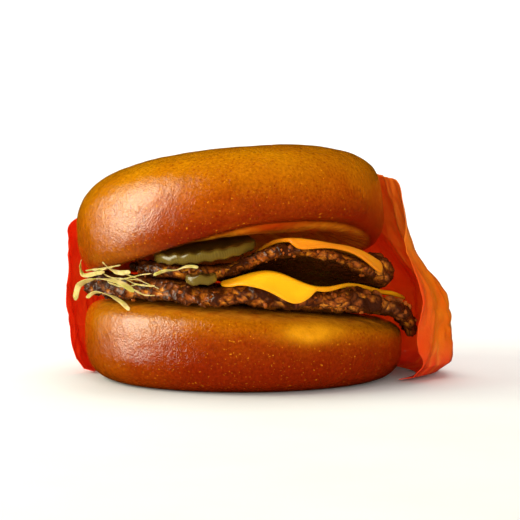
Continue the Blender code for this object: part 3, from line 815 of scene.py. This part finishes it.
def tilted(points, right, back):
    """Points turned about the origin: the right side up, then the top back."""
    turn_right = np.array(((math.cos(right), 0.0, -math.sin(right)), (0.0, 1.0, 0.0),
                           (math.sin(right), 0.0, math.cos(right))))
    turn_back = np.array(((1.0, 0.0, 0.0), (0.0, math.cos(back), math.sin(back)),
                          (0.0, -math.sin(back), math.cos(back))))
    return points @ (turn_back @ turn_right).T


def cut_face(x, y):
    """Height of the heel's cut face, which falls to the right and rises to the front."""
    return HEEL_HEIGHT - HEEL_FALL_TO_RIGHT * x - HEEL_RISE_TO_FRONT * y


def heel_grid(rings, columns, relief):
    """The heel's surface: a superellipse above its waist and a rounded foot on a flat base,
    turned about the axis and scaled to the height of the sloping cut face."""
    fine = 1200
    turn = np.linspace(math.pi / 2.0, 0.0, fine)
    top_radius = HEEL_RADIUS * np.cos(turn) ** (2.0 / HEEL_TOP_POWER)
    top_share = HEEL_WAIST + (1.0 - HEEL_WAIST) * np.sin(turn) ** (2.0 / HEEL_TOP_POWER)
    foot = np.linspace(0.0, math.pi / 2.0, fine // 2)[1:]
    overhang = HEEL_RADIUS - HEEL_BASE_RADIUS
    foot_radius = HEEL_BASE_RADIUS + overhang * np.cos(foot) ** (2.0 / HEEL_FOOT_POWER)
    foot_share = HEEL_WAIST * (1.0 - np.sin(foot) ** (2.0 / HEEL_FOOT_POWER))
    base = np.linspace(1.0, 0.0, fine // 4)[1:] * HEEL_BASE_RADIUS
    radius = np.concatenate([top_radius, foot_radius, base])
    share = np.concatenate([top_share, foot_share, np.zeros(len(base))])
    weight = np.where((radius < HEEL_RADIUS * 0.8) | (share <= 0.0), 0.35, 1.0)
    place = even_steps(radius, share * HEEL_HEIGHT, weight, rings + 2)[1:-1]
    radius = pick(radius, place)[:, None]
    share = pick(share, place)[:, None]
    angle = full_turn(columns)
    out = radius * (1.0 + HEEL_OVAL * np.cos(2.0 * angle + 0.6) + HEEL_THREE_SIDED * np.cos(3.0 * angle))
    x = out * np.cos(angle)
    y = out * np.sin(angle)
    grid = np.stack([x, y, share * cut_face(x, y)], axis=-1)
    puckers = soft_noise(grid, PUCKER_SIZE, 43) * relief * PUCKER_SHARE
    lift = layered_noise(grid, HEEL_DENT_SIZE, 41) * relief + puckers
    lift = lift * smooth(0.0, 0.12, share) * smooth(1.0, 0.94, share * (radius < HEEL_RADIUS * 0.9))
    grid = push_out(grid, lift)
    grid[..., 2] = np.maximum(grid[..., 2], 0.0)
    low = smooth(0.98, 0.30, share)
    side = smooth(HEEL_RADIUS * 0.90, HEEL_RADIUS * 0.97, radius + 0.0 * angle)
    # Painted key light: the left side, where the softbox and its highlight fall, gets less brown and less
    # dark rim
    paler = smooth(PALE_START, PALE_FULL, grid[..., 0])
    smear = np.exp(-((grid[..., 0] - SMEAR_PLACE[0]) / SMEAR_SPREAD[0]) ** 2
                   - ((grid[..., 2] - SMEAR_PLACE[1]) / SMEAR_SPREAD[1]) ** 2)
    smear = np.clip(smear * (grid[..., 1] < 0.0) * 1.2, 0.0, 0.9)
    # The top edge stays gold, partly as painted light where the patty's overhang shades it
    baked = 0.25 + 1.2 * low * (1.0 - 0.5 * paler) + 0.30 * layered_noise(grid, HEEL_PATCH_SIZE, 45)
    values = {
        "bake": np.clip(baked, 0.0, 1.0),
        "rim": 0.95 * (1.0 - 0.6 * paler) * smooth(1.0, 0.25, share + 0.10 * layered_noise(grid, 0.01, 47)),
        "crumb": (1.0 - side) * (share > 0.5),
        "stain": smear * (0.75 + 0.5 * layered_noise(grid, 0.004, 49)),
        "sauce": np.zeros_like(smear),
    }
    return grid, values


def bend(distance, height, shape, middle):
    """Carries a sheet round a bend: how far out and how high each point lands."""
    start, inner, limit = shape
    whole = np.maximum(distance - start, 0.0) / (inner + middle)
    past = np.maximum(whole - limit, 0.0) * (inner + middle)
    turn = np.minimum(whole, limit)
    out = start + (inner + height) * np.sin(turn) + past * np.cos(turn)
    lift = (inner + height) * np.cos(turn) - inner - past * np.sin(turn)
    return np.where(distance > start, out, distance), np.where(distance > start, lift, height)


def rise(x, y, shape):
    """A rounded ridge, a bell curve across, that grows towards the front edge."""
    height, centre, half_width = shape
    return height * np.exp(-((x - centre) / half_width) ** 2) * smooth(RISE_BACK, RISE_FRONT, y)


def lump(x, y):
    """The two thicker places at the front of the lower patty."""
    return rise(x, y, LUMP) + rise(x, y, RIGHT_LUMP)


def heap(x, y):
    """How much thicker the upper patty is under the crown's right side."""
    height, across, along, half_width = HEAP
    return height * np.exp(-((x - across) ** 2 + (y - along) ** 2) / half_width ** 2)


def loose(x):
    """How far the sheets above the lower patty stand off it where it starts to bend."""
    return CHEESE_LOOSE * smooth(LOOSE_START, RIGHT_BEND[0], x)


def over_heel(x, y, height):
    """Lays points of the lower sheets on the heel and down its right side."""
    out, lift = bend(x, height, RIGHT_BEND, LOWER_PATTY_HEIGHT + PATTY_THICKNESS / 2.0)
    sag = SAG * smooth(*SAG_REACH, np.hypot(np.minimum(x, 0.0), y)) * smooth(*SAG_SIDE, x)
    return np.stack([out, y, cut_face(np.minimum(x, RIGHT_BEND[0]), y) + lift - sag], axis=-1)


def uneven(x, y):
    """How much thicker the lower patty is in its lumps and at the left."""
    return lump(x, y) + FILL_HEIGHT * smooth(FILL_START, FILL_END, x)


def over_lower_patty(x, y, height):
    """Lays points of the lower cheese, whose front corner hangs over the patty's edge."""
    front, lift = bend(-y, height - LOWER_CHEESE_HEIGHT, FRONT_BEND, CHEESE_THICKNESS / 2.0)
    return over_heel(x, -front, LOWER_CHEESE_HEIGHT + lump(x, -front) + lift + loose(x))


def over_lower_cheese(x, y, height):
    """Lays points of the upper sheets, which arch at the front right."""
    lift = lump(x, y) + rise(x, y, ARCH) + loose(x)
    return np.stack([x, y, cut_face(x, y) + height + lift], axis=-1)


def over_upper_patty(x, y, height):
    """Lays points of the upper cheese, whose front edge hangs over the patty's edge."""
    away = np.maximum(np.hypot(x, y), 1e-9)
    reach = around(UPPER_PATTY_REACH, np.arctan2(y, x)) - UPPER_BEND_INSET
    out, lift = bend(away, height - UPPER_CHEESE_HEIGHT, (reach, FRONT_BEND[1], FRONT_BEND[2]),
                     CHEESE_THICKNESS / 2.0)
    x, y = x * out / away, y * out / away
    return over_lower_cheese(x, y, UPPER_CHEESE_HEIGHT + heap(x, y) + lift)


def slab_rings(rim, inner, edge):
    """A slab's half section from its middle to its rim: even steps, then a rounded edge.
    Gives each ring's share of the reach and of the half thickness, top first, as columns."""
    flat = np.linspace(0.0, rim, inner + 1)[1:]
    turn = np.linspace(0.0, math.pi / 2.0, edge + 1)[1:]
    out = rim + (1.0 - rim) * np.sin(turn) ** 0.85
    up = np.maximum(np.cos(turn), 0.0) ** 0.85
    share = np.concatenate([flat, out])
    lift = np.concatenate([np.ones(inner), up])
    return np.concatenate([share, share[-2::-1]])[:, None], np.concatenate([lift, -lift[-2::-1]])[:, None]


def patty_grid(columns, reaches, base, lay, grow, seed, crag):
    """A patty's surface: a craggy slab laid over what carries it, then roughened by noise and by
    crumbs at two sizes, which are rounded by the squared distance to strewn points and parted
    where two of the points are equally near."""
    share, lift = slab_rings(0.90, 34, 16)
    share = np.where(share < 0.9, share ** 0.55 * 0.9 ** 0.45, share)
    angle = full_turn(columns)
    reach = around(reaches, angle)
    x = reach * share * np.cos(angle)
    y = reach * share * np.sin(angle)
    spot = np.stack([x, y, lift * PATTY_THICKNESS / 2.0 + 0.0 * x], axis=-1)
    edge = smooth(0.6, 1.0, share)
    ragged = 0.5 + 0.5 * layered_noise(spot, CRAG_SIZE, seed)
    shrink = 1.0 - edge * ragged * CRAG_DEPTH / HEEL_RADIUS
    x = x * shrink
    y = y * shrink
    half = (PATTY_THICKNESS + grow(x, y)) / 2.0
    thinned = 1.0 - CRAG_THINNING * ragged * np.maximum(CRAG_ON_FACE, edge)
    grid = lay(x, y, base + half + lift * half * thinned)
    warp = np.stack([layered_noise(grid, MEAT_WARP_SIZE, seed + 20 + axis) for axis in (0, 1, 2)], axis=-1)
    bent = (grid + MEAT_WARP * warp) * MEAT_STRETCH
    near, second, number = cells(bent, MEAT_CRUMB, seed + 1)
    fine, fine_second, fine_number = cells(bent, MEAT_GRAIN, seed + 5)
    crevice = smooth(0.22, 0.0, second - near)
    bumps = (0.45 - near ** 2) * (0.4 + 1.1 * number) - 0.45 * crevice
    grains = (0.40 - fine ** 2) * (0.4 + fine_number)
    rough = layered_noise(grid, MEAT_ROUGH_SIZE, seed + 9, 4)
    push = crag * (bumps * (0.3 + 0.7 * edge) + 0.35 * grains + 0.9 * rough)
    # Painted shade: crevices, low spots of the noise and the underside go dark; the crumbs' raised tops are
    # painted light
    underside = (lift < 0.0) * smooth(0.97, 0.90, share)
    dark = 0.9 * crevice + smooth(-0.1, -0.5, rough) + 0.5 * smooth(0.2, 0.0, fine_second - fine) + underside
    values = {
        "crumb_top": smooth(-0.2, 0.6, bumps + 0.8 * rough + 0.35 * grains),
        "hollow": np.clip(dark, 0.0, 1.0),
    }
    return push_out(grid, np.minimum(push, CRAG_MOST)), values


def crisp_bits(grid, seed, count, rings, span, sizes):
    """Crumbs on a patty's edge: each a sphere, squashed at random and dented by noise, whose
    middle is a point that is picked from a span of the edge's rings."""
    rng = np.random.default_rng(seed)
    columns = grid.shape[1]
    ring = rng.integers(*rings, count)
    column = (rng.uniform(*span, count) * columns).astype(int) % columns
    middle = grid[ring, column][:, None, None, :]
    up = np.linspace(math.pi / 2.0, -math.pi / 2.0, BIT_RINGS + 2)[1:-1, None]
    angle = full_turn(BIT_COLUMNS)
    ball = np.stack([np.cos(up) * np.cos(angle), np.cos(up) * np.sin(angle), np.sin(up) + 0.0 * angle],
                    axis=-1)[None]
    size = sizes[0] + (sizes[1] - sizes[0]) * rng.uniform(0.0, 1.0, (count, 1, 1, 1)) ** 2.5
    squash = rng.uniform(*BIT_SQUASH, (count, 1, 1, 3)) * size
    shifted = ball + rng.uniform(0.0, 50.0, (count, 1, 1, 3))
    dented = 1.0 + BIT_DENT * soft_noise(shifted, BIT_DENT_SIZE, seed)[..., None]
    return middle + ball * squash * dented


def cheese_grid(columns, slice_shape, base, lay, tone, seed):
    """A melted slice: a rectangle with rounded corners and soft edges, laid over a patty,
    with shallow dents. Its tone is painted shade, added to the deeper colour of its thin edges."""
    sides, corner, turn = slice_shape
    share, lift = slab_rings(0.965, 60, 8)
    angle = full_turn(columns)
    rounding = np.abs(np.cos(angle)) ** CHEESE_CORNER_POWER + np.abs(np.sin(angle)) ** CHEESE_CORNER_POWER
    reach = share / rounding ** (1.0 / CHEESE_CORNER_POWER)
    along = sides[0] / 2.0 * (1.0 + reach * np.cos(angle))
    across = sides[1] / 2.0 * (1.0 + reach * np.sin(angle))
    x = corner[0] + along * math.cos(turn) - across * math.sin(turn)
    y = corner[1] + along * math.sin(turn) + across * math.cos(turn)
    grid = lay(x, y, base + CHEESE_THICKNESS / 2.0 * (1.0 + lift))
    grid = push_out(grid, layered_noise(grid, MELT_SIZE, seed, 2) * MELT_DEPTH)
    # The tone is painted shade: the upper slice, under the crown, gets more of the edge colour
    return grid, {"thin": tone + smooth(0.90, 1.0, share + 0.0 * angle) * 0.35}


def pickle_grid(columns, radius, thickness, centre, tilt_front, tilt_right):
    """A crinkle-cut slice: a thick disc with a cosine ridge across its faces and a wavy rim."""
    share, lift = slab_rings(0.90, 26, 10)
    angle = full_turn(columns)
    nicks = PICKLE_NICK * np.cos(PICKLE_STREAKS * angle) * smooth(0.8, 1.0, share)
    rim = 1.0 + PICKLE_OVAL * np.cos(2.0 * angle + 0.5) + nicks
    x = radius * rim * share * np.cos(angle)
    y = radius * rim * share * np.sin(angle)
    ridge = PICKLE_CRINKLE * np.cos(x / PICKLE_PITCH * TAU)
    flesh = PICKLE_FLESH * soft_noise(np.stack([x, y, lift + 0.0 * x], axis=-1), PICKLE_FLESH_SIZE, 61)
    points = np.stack([x, y, lift * thickness / 2.0 + ridge + flesh], axis=-1)
    streak = 0.5 + 0.5 * np.cos(PICKLE_STREAKS * angle + 3.0 * soft_noise(points, PICKLE_STREAK_SIZE, 63))
    skin = smooth(0.93, 0.99, share) * smooth(0.98, 0.6, np.abs(lift)) * (0.45 + 0.55 * streak)
    return tilted(points, tilt_right, -tilt_front) + np.array(centre), {"skin": skin}


def shred_grid(reach, width, twist, line, seed):
    """A strip of leaf: a flat oval carried along its line, which is wrapped round the burger's
    front, twisted, tapered at both ends and ruffled."""
    along = np.linspace(0.0, 1.0, SHRED_STEPS)[:, None]
    turn = full_turn(SHRED_SIDES)
    flat = along_line(line, along[:, 0])[:, None, :]
    ahead = along_line(line, along[:, 0] + SHRED_STEP) - along_line(line, along[:, 0] - SHRED_STEP)
    ahead = (ahead / np.linalg.norm(ahead, axis=-1, keepdims=True))[:, None, :]
    ends = np.minimum(1.0, np.sin(math.pi * (0.03 + 0.94 * along)) * 4.0)
    taper = (SHRED_TIP + (1.0 - SHRED_TIP) * np.sin(math.pi * along)) * ends
    side = 0.5 * np.cos(turn) * width * taper
    thick = 0.5 * np.sin(turn) * SHRED_THICKNESS * np.minimum(1.0, taper * 2.0)
    lean = twist + SHRED_TURN * along
    ruffle = SHRED_RUFFLE * np.sin(along * SHRED_RUFFLES + seed) * np.cos(turn)
    wave = SHRED_WAVE * np.sin(along * SHRED_WAVES + 2.0 * seed)
    across = side * np.cos(lean) - thick * np.sin(lean)
    x = flat[..., 0] - ahead[..., 1] * across
    z = flat[..., 1] + ahead[..., 0] * across
    out = reach + side * np.sin(lean) + thick * np.cos(lean) + ruffle + wave
    return np.stack([x, -np.sqrt(out * out - x * x), z], axis=-1)


def leaf_threads(count, seed):
    """Fine threads of leaf in the gap at the left, strips like the larger shreds."""
    rng = np.random.default_rng(seed)
    threads = []
    for number in range(count):
        x = rng.uniform(*THREAD_START)
        z = THREAD_HEIGHT + THREAD_SLOPE * (x + 0.040) + rng.uniform(-THREAD_SPREAD, THREAD_SPREAD)
        way = rng.uniform(-0.4, 0.4)
        line = [(x, z)]
        for part in range(4):
            way = np.clip(way + rng.uniform(-0.8, 0.8), -0.5, 0.4)
            x += THREAD_STEP * math.cos(way)
            z += THREAD_STEP * math.sin(way) * 0.7
            line.append((x, z))
        threads.append(shred_grid(rng.uniform(*THREAD_REACH), rng.uniform(*THREAD_WIDTH),
                                  rng.uniform(0.0, 3.0), line, number))
    return np.array(threads)


def paper_grid(rows, columns, crease):
    """The pocket: its distance from the axis is read from its section, flared at the right, and
    crumpled by cones round strewn points, by noise whose sign is dropped, which folds it sharply
    along the noise's zero lines, and by upright pleats at the foot."""
    across = np.linspace(0.0, 1.0, columns)[None, :]
    along = np.linspace(0.0, 1.0, rows)[:, None]
    height = PAPER_FOOT + (between(PAPER_TOP, across) - PAPER_FOOT) * along ** PAPER_ROW_POWER
    right = between(PAPER_RIGHT_EDGE, height)
    left = between(PAPER_LEFT_EDGE, height)
    angle = right + (left - right) * across
    before = 1.0 - smooth(0.0, PAPER_FLARE_FRONT, PAPER_FLARE_PEAK - angle)
    behind = 1.0 - smooth(0.0, PAPER_FLARE_BACK, angle - PAPER_FLARE_PEAK)
    flare = np.where(angle < PAPER_FLARE_PEAK, before, behind)
    turn = np.radians(angle)
    wander = PAPER_FOLD_WANDER * np.sin(2.0 * turn + along * PAPER_FOLD_LEAN)
    fold = 0.5 + 0.5 * np.sin(PAPER_FOLDS * turn + wander)
    close = between(PAPER_CLOSE, height)
    reach = close + (between(PAPER_FLARED, height) - close) * flare
    reach = reach + PAPER_FOLD * fold * smooth(0.0, PAPER_FOLD_TOP, height)
    sheet = np.stack([turn * PAPER_UNROLLED, height * 0.7, 0.0 * height], axis=-1)
    sway = np.stack([soft_noise(sheet, PAPER_SWAY_SIZE, seed) for seed in (77, 78, 79)], axis=-1)
    swayed = sheet + sway * (PAPER_SWAY, PAPER_SWAY, 0.0)
    near = cells(swayed, PAPER_CONE_SIZE, 71)[0]
    long_fold = np.abs(soft_noise(swayed * PAPER_LONG_STRETCH, PAPER_LONG_FOLD, 81))
    short_fold = np.abs(soft_noise(swayed * PAPER_SHORT_STRETCH, PAPER_SHORT_FOLD, 83))
    pleats = np.abs(np.sin(PAPER_PLEATS * turn + 2.0 * soft_noise(sheet, 0.02, 73))) ** 3
    crumple = 0.6 * near + 1.1 * long_fold + 0.4 * short_fold + 0.5 * pleats * (1.0 - along) - 0.5
    reach = reach + crease * crumple * smooth(0.0, 0.010, height)
    shift = PAPER_SHIFT * smooth(PAPER_SHIFT_START, PAPER_SHIFT_END, height)
    grid = np.stack([reach * np.cos(turn) - shift, reach * np.sin(turn), height], axis=-1)
    # Painted light: the flared flap is painted orange, standing in for light that comes through it
    glow = flare * smooth(0.62, 0.95, 1.0 - across) * smooth(0.002, 0.014, height)
    # Painted light: pale highlights along the long folds of the flap, and a lighter strip near its top where
    # it glows
    worn = 0.5 * smooth(0.10, 0.0, long_fold) * flare + 0.5 * smooth(0.034, 0.050, height) * glow
    return grid, {
        "glow": np.clip(glow * (0.9 + 0.4 * soft_noise(sheet, 0.012, 75)), 0.0, 1.0),
        "worn": np.clip(worn, 0.0, 1.0),
    }


class BURGER_OT_bun(bpy.types.Operator):
    """Bakes the heel and the crown of the bun"""
    bl_idname = "burger.bun"
    bl_label = "Bun"

    def execute(self, context):
        settings = context.scene.burger_bun
        crust = crust_material(settings)
        crown = closed_form(*crown_grid(CROWN_RINGS, BUN_COLUMNS, settings.relief))
        add_piece("crown_bread", crown, crust, "bun_crust", "bun_crown")
        heel = closed_form(*heel_grid(HEEL_RINGS, BUN_COLUMNS, settings.relief))
        add_piece("heel_bread", heel, crust, "bun_crust", "bun_heel")
        return {"FINISHED"}


class BURGER_OT_patties(bpy.types.Operator):
    """Sears the two smashed patties"""
    bl_idname = "burger.patties"
    bl_label = "Patties"

    def execute(self, context):
        settings = context.scene.burger_patty
        meat = meat_material(settings)
        patties = (
            ("lower", LOWER_PATTY_REACH, LOWER_PATTY_HEIGHT, over_heel, uneven, 301),
            ("upper", UPPER_PATTY_REACH, UPPER_PATTY_HEIGHT, over_lower_cheese, heap, 401),
        )
        for name, reaches, base, lay, grow, seed in patties:
            grid, values = patty_grid(PATTY_COLUMNS, reaches, base, lay, grow, seed, settings.crag)
            add_piece(name + "_beef", closed_form(grid, values), meat, "seared_beef", "patty_" + name)
            bits = crisp_bits(grid, seed, *EDGE_BITS)
            if name == "lower":
                bits = np.concatenate([bits, crisp_bits(grid, seed + 1, *SHELF_BITS)])
            add_piece(name + "_crisp_bits", closed_form(bits), meat, "seared_beef")
        return {"FINISHED"}


class BURGER_OT_cheese(bpy.types.Operator):
    """Melts the two slices of cheese over the patties"""
    bl_idname = "burger.cheese"
    bl_label = "Cheese"

    def execute(self, context):
        cheese = cheese_material(context.scene.burger_cheese)
        slices = (
            ("lower", LOWER_CHEESE, LOWER_CHEESE_HEIGHT, over_lower_patty, 0.0, 51),
            # The upper slice's tone is painted shade under the crown
            ("upper", UPPER_CHEESE, UPPER_CHEESE_HEIGHT, over_upper_patty, 0.8, 53),
        )
        for name, shape, base, lay, tone, seed in slices:
            mesh = closed_form(*cheese_grid(CHEESE_COLUMNS, shape, base, lay, tone, seed))
            add_piece(name + "_slice", mesh, cheese, "melted_cheese", "cheese_" + name)
        return {"FINISHED"}


class BURGER_OT_pickles(bpy.types.Operator):
    """Lays the pickle slices under the crown"""
    bl_idname = "burger.pickles"
    bl_label = "Pickles"

    def execute(self, context):
        pickle = pickle_material(context.scene.burger_greens)
        for name, shape in PICKLES.items():
            mesh = closed_form(*pickle_grid(PICKLE_COLUMNS, *shape))
            add_piece(name + "_wet", mesh, pickle, "pickle", name)
        return {"FINISHED"}


class BURGER_OT_lettuce(bpy.types.Operator):
    """Drapes the shredded lettuce over the left of the filling"""
    bl_idname = "burger.lettuce"
    bl_label = "Lettuce"

    def execute(self, context):
        leaf = lettuce_material(context.scene.burger_greens)
        for seed, (name, shape) in enumerate(SHREDS.items()):
            add_piece(name + "_leaf", closed_form(shred_grid(*shape, seed)), leaf, "lettuce", name)
        add_piece("leaf_threads", closed_form(leaf_threads(count=7, seed=5)), leaf, "lettuce")
        return {"FINISHED"}


class BURGER_OT_paper(bpy.types.Operator):
    """Folds the waxed paper pocket round the back"""
    bl_idname = "burger.paper"
    bl_label = "Paper pocket"

    def execute(self, context):
        settings = context.scene.burger_paper
        grid, values = paper_grid(PAPER_ROWS, PAPER_COLUMNS, settings.crease)
        mesh = make_mesh(grid.reshape(-1, 3), [strip_faces(*grid.shape[:2], False)], values)
        pocket = add_piece("red_pocket", mesh, paper_material(settings), "waxed_paper", "paper_pocket")
        wall = pocket.modifiers.new("wall", "SOLIDIFY")
        wall.thickness = settings.wall
        wall.offset = 0.0
        return {"FINISHED"}


class BURGER_OT_stage(bpy.types.Operator):
    """Sets the pale floor, the soft lights and the camera"""
    bl_idname = "burger.stage"
    bl_label = "Stage"

    def execute(self, context):
        settings = context.scene.burger_stage
        make_floor()
        make_lights(settings)
        make_camera(settings)
        context.scene.view_settings.view_transform = "Standard"
        return {"FINISHED"}


def make_floor():
    """A pale floor that curves up behind: straight, a quarter circle, straight up."""
    turn = np.linspace(0.0, math.pi / 2.0, 24)
    depth = np.concatenate([[FLOOR_FRONT], FLOOR_BACK + FLOOR_BEND * np.sin(turn), [FLOOR_BACK + FLOOR_BEND]])
    height = np.concatenate([[0.0], FLOOR_BEND * (1.0 - np.cos(turn)), [FLOOR_TOP]])
    width = np.array([-FLOOR_HALF_WIDTH, FLOOR_HALF_WIDTH])
    grid = np.stack(np.broadcast_arrays(width[:, None], depth[None, :], height[None, :]), axis=-1)
    mesh = make_mesh(grid.reshape(-1, 3), [strip_faces(2, len(depth), False)[:, ::-1]])
    mesh.name = "floor"
    material, tree, shader = new_material("pale_floor")
    shade = patches(tree, (0.86, 0.86, 0.85), (0.83, 0.83, 0.82), 0.05, 4.0, 0.35, 0.65)
    tree.links.new(shade, shader.inputs["Base Color"])
    finish(shader, {"Roughness": 0.6})
    mesh.materials.append(material)
    floor = bpy.data.objects.new("floor", mesh)
    floor.visible_glossy = False
    bpy.context.scene.collection.objects.link(floor)


def make_lights(settings):
    """A tall softbox at the left, the only light that shines on the gloss, a wide one overhead,
    a low one in front, and one aimed at the backdrop."""
    burger = (0.0, 0.0, 0.04)
    lights = (
        ("key", (-0.56, -0.10, 0.22), burger, (0.40, 0.60), settings.key_power, (0.95, 1.0, 0.82)),
        ("top", (0.05, 0.10, 0.85), burger, (0.80, 0.60), 3.5, (1.0, 0.94, 0.86)),
        ("front", (0.10, -0.95, 0.16), burger, (0.80, 0.40), 8.6, (1.0, 0.94, 0.86)),
        ("back", (0.0, 0.55, 1.10), (0.0, 1.6, 0.3), (1.60, 0.40), 21.0, (1.0, 0.99, 0.97)),
    )
    for name, place, aim, size, power, shade in lights:
        data = bpy.data.lights.new(name, "AREA")
        data.shape = "RECTANGLE"
        data.size, data.size_y = size
        data.energy = power
        data.color = shade
        lamp = bpy.data.objects.new(name, data)
        lamp.location = place
        lamp.rotation_euler = (Vector(aim) - Vector(place)).to_track_quat("-Z", "Y").to_euler()
        lamp.visible_glossy = name == "key"
        bpy.context.scene.collection.objects.link(lamp)
    world = bpy.data.worlds.new("soft_room")
    bpy.context.scene.world = world
    world.use_nodes = True
    background = world.node_tree.nodes["Background"]
    background.inputs["Color"].default_value = (1.0, 0.98, 0.95, 1.0)
    background.inputs["Strength"].default_value = WORLD_STRENGTH
    world.cycles_visibility.glossy = False


def make_camera(settings):
    """A long lens almost level with the filling, aimed at the middle of the burger."""
    low, high = (np.array(corner) for corner in CAD_BOX)
    middle = (low + high) / 2.0
    back = np.array((0.0, -math.cos(settings.elevation), math.sin(settings.elevation)))
    data = bpy.data.cameras.new("camera")
    data.sensor_width = SENSOR_WIDTH
    data.lens = SENSOR_WIDTH * settings.distance / VIEW_WIDTH
    camera = bpy.data.objects.new("camera", data)
    camera.location = Vector(middle + back * settings.distance)
    camera.rotation_euler = Vector(-back).to_track_quat("-Z", "Y").to_euler()
    bpy.context.scene.collection.objects.link(camera)
    bpy.context.scene.camera = camera


class BURGER_PT_panel(bpy.types.Panel):
    """Lists the burger's pieces in the sidebar"""
    bl_label = "Burger"
    bl_idname = "BURGER_PT_panel"
    bl_space_type = "VIEW_3D"
    bl_region_type = "UI"
    bl_category = "Burger"

    def draw(self, context):
        for operator in OPERATORS:
            self.layout.operator(operator.bl_idname)


SETTINGS = {
    "burger_bun": BunSettings,
    "burger_patty": PattySettings,
    "burger_cheese": CheeseSettings,
    "burger_greens": GreensSettings,
    "burger_paper": PaperSettings,
    "burger_stage": StageSettings,
}
OPERATORS = (BURGER_OT_bun, BURGER_OT_patties, BURGER_OT_cheese, BURGER_OT_pickles, BURGER_OT_lettuce,
             BURGER_OT_paper, BURGER_OT_stage)


def register():
    """Makes the settings, the operators and the panel known."""
    for name, kind in SETTINGS.items():
        bpy.utils.register_class(kind)
        setattr(bpy.types.Scene, name, PointerProperty(type=kind))
    for kind in (*OPERATORS, BURGER_PT_panel):
        bpy.utils.register_class(kind)


def unregister():
    """Takes the panel, the operators and the settings away again."""
    for kind in (BURGER_PT_panel, *reversed(OPERATORS)):
        bpy.utils.unregister_class(kind)
    for name, kind in reversed(SETTINGS.items()):
        delattr(bpy.types.Scene, name)
        bpy.utils.unregister_class(kind)


def main():
    """Registers the add-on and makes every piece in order."""
    register()
    for operator in OPERATORS:
        group, name = operator.bl_idname.split(".")
        getattr(getattr(bpy.ops, group), name)()


if __name__ == "__main__":
    main()
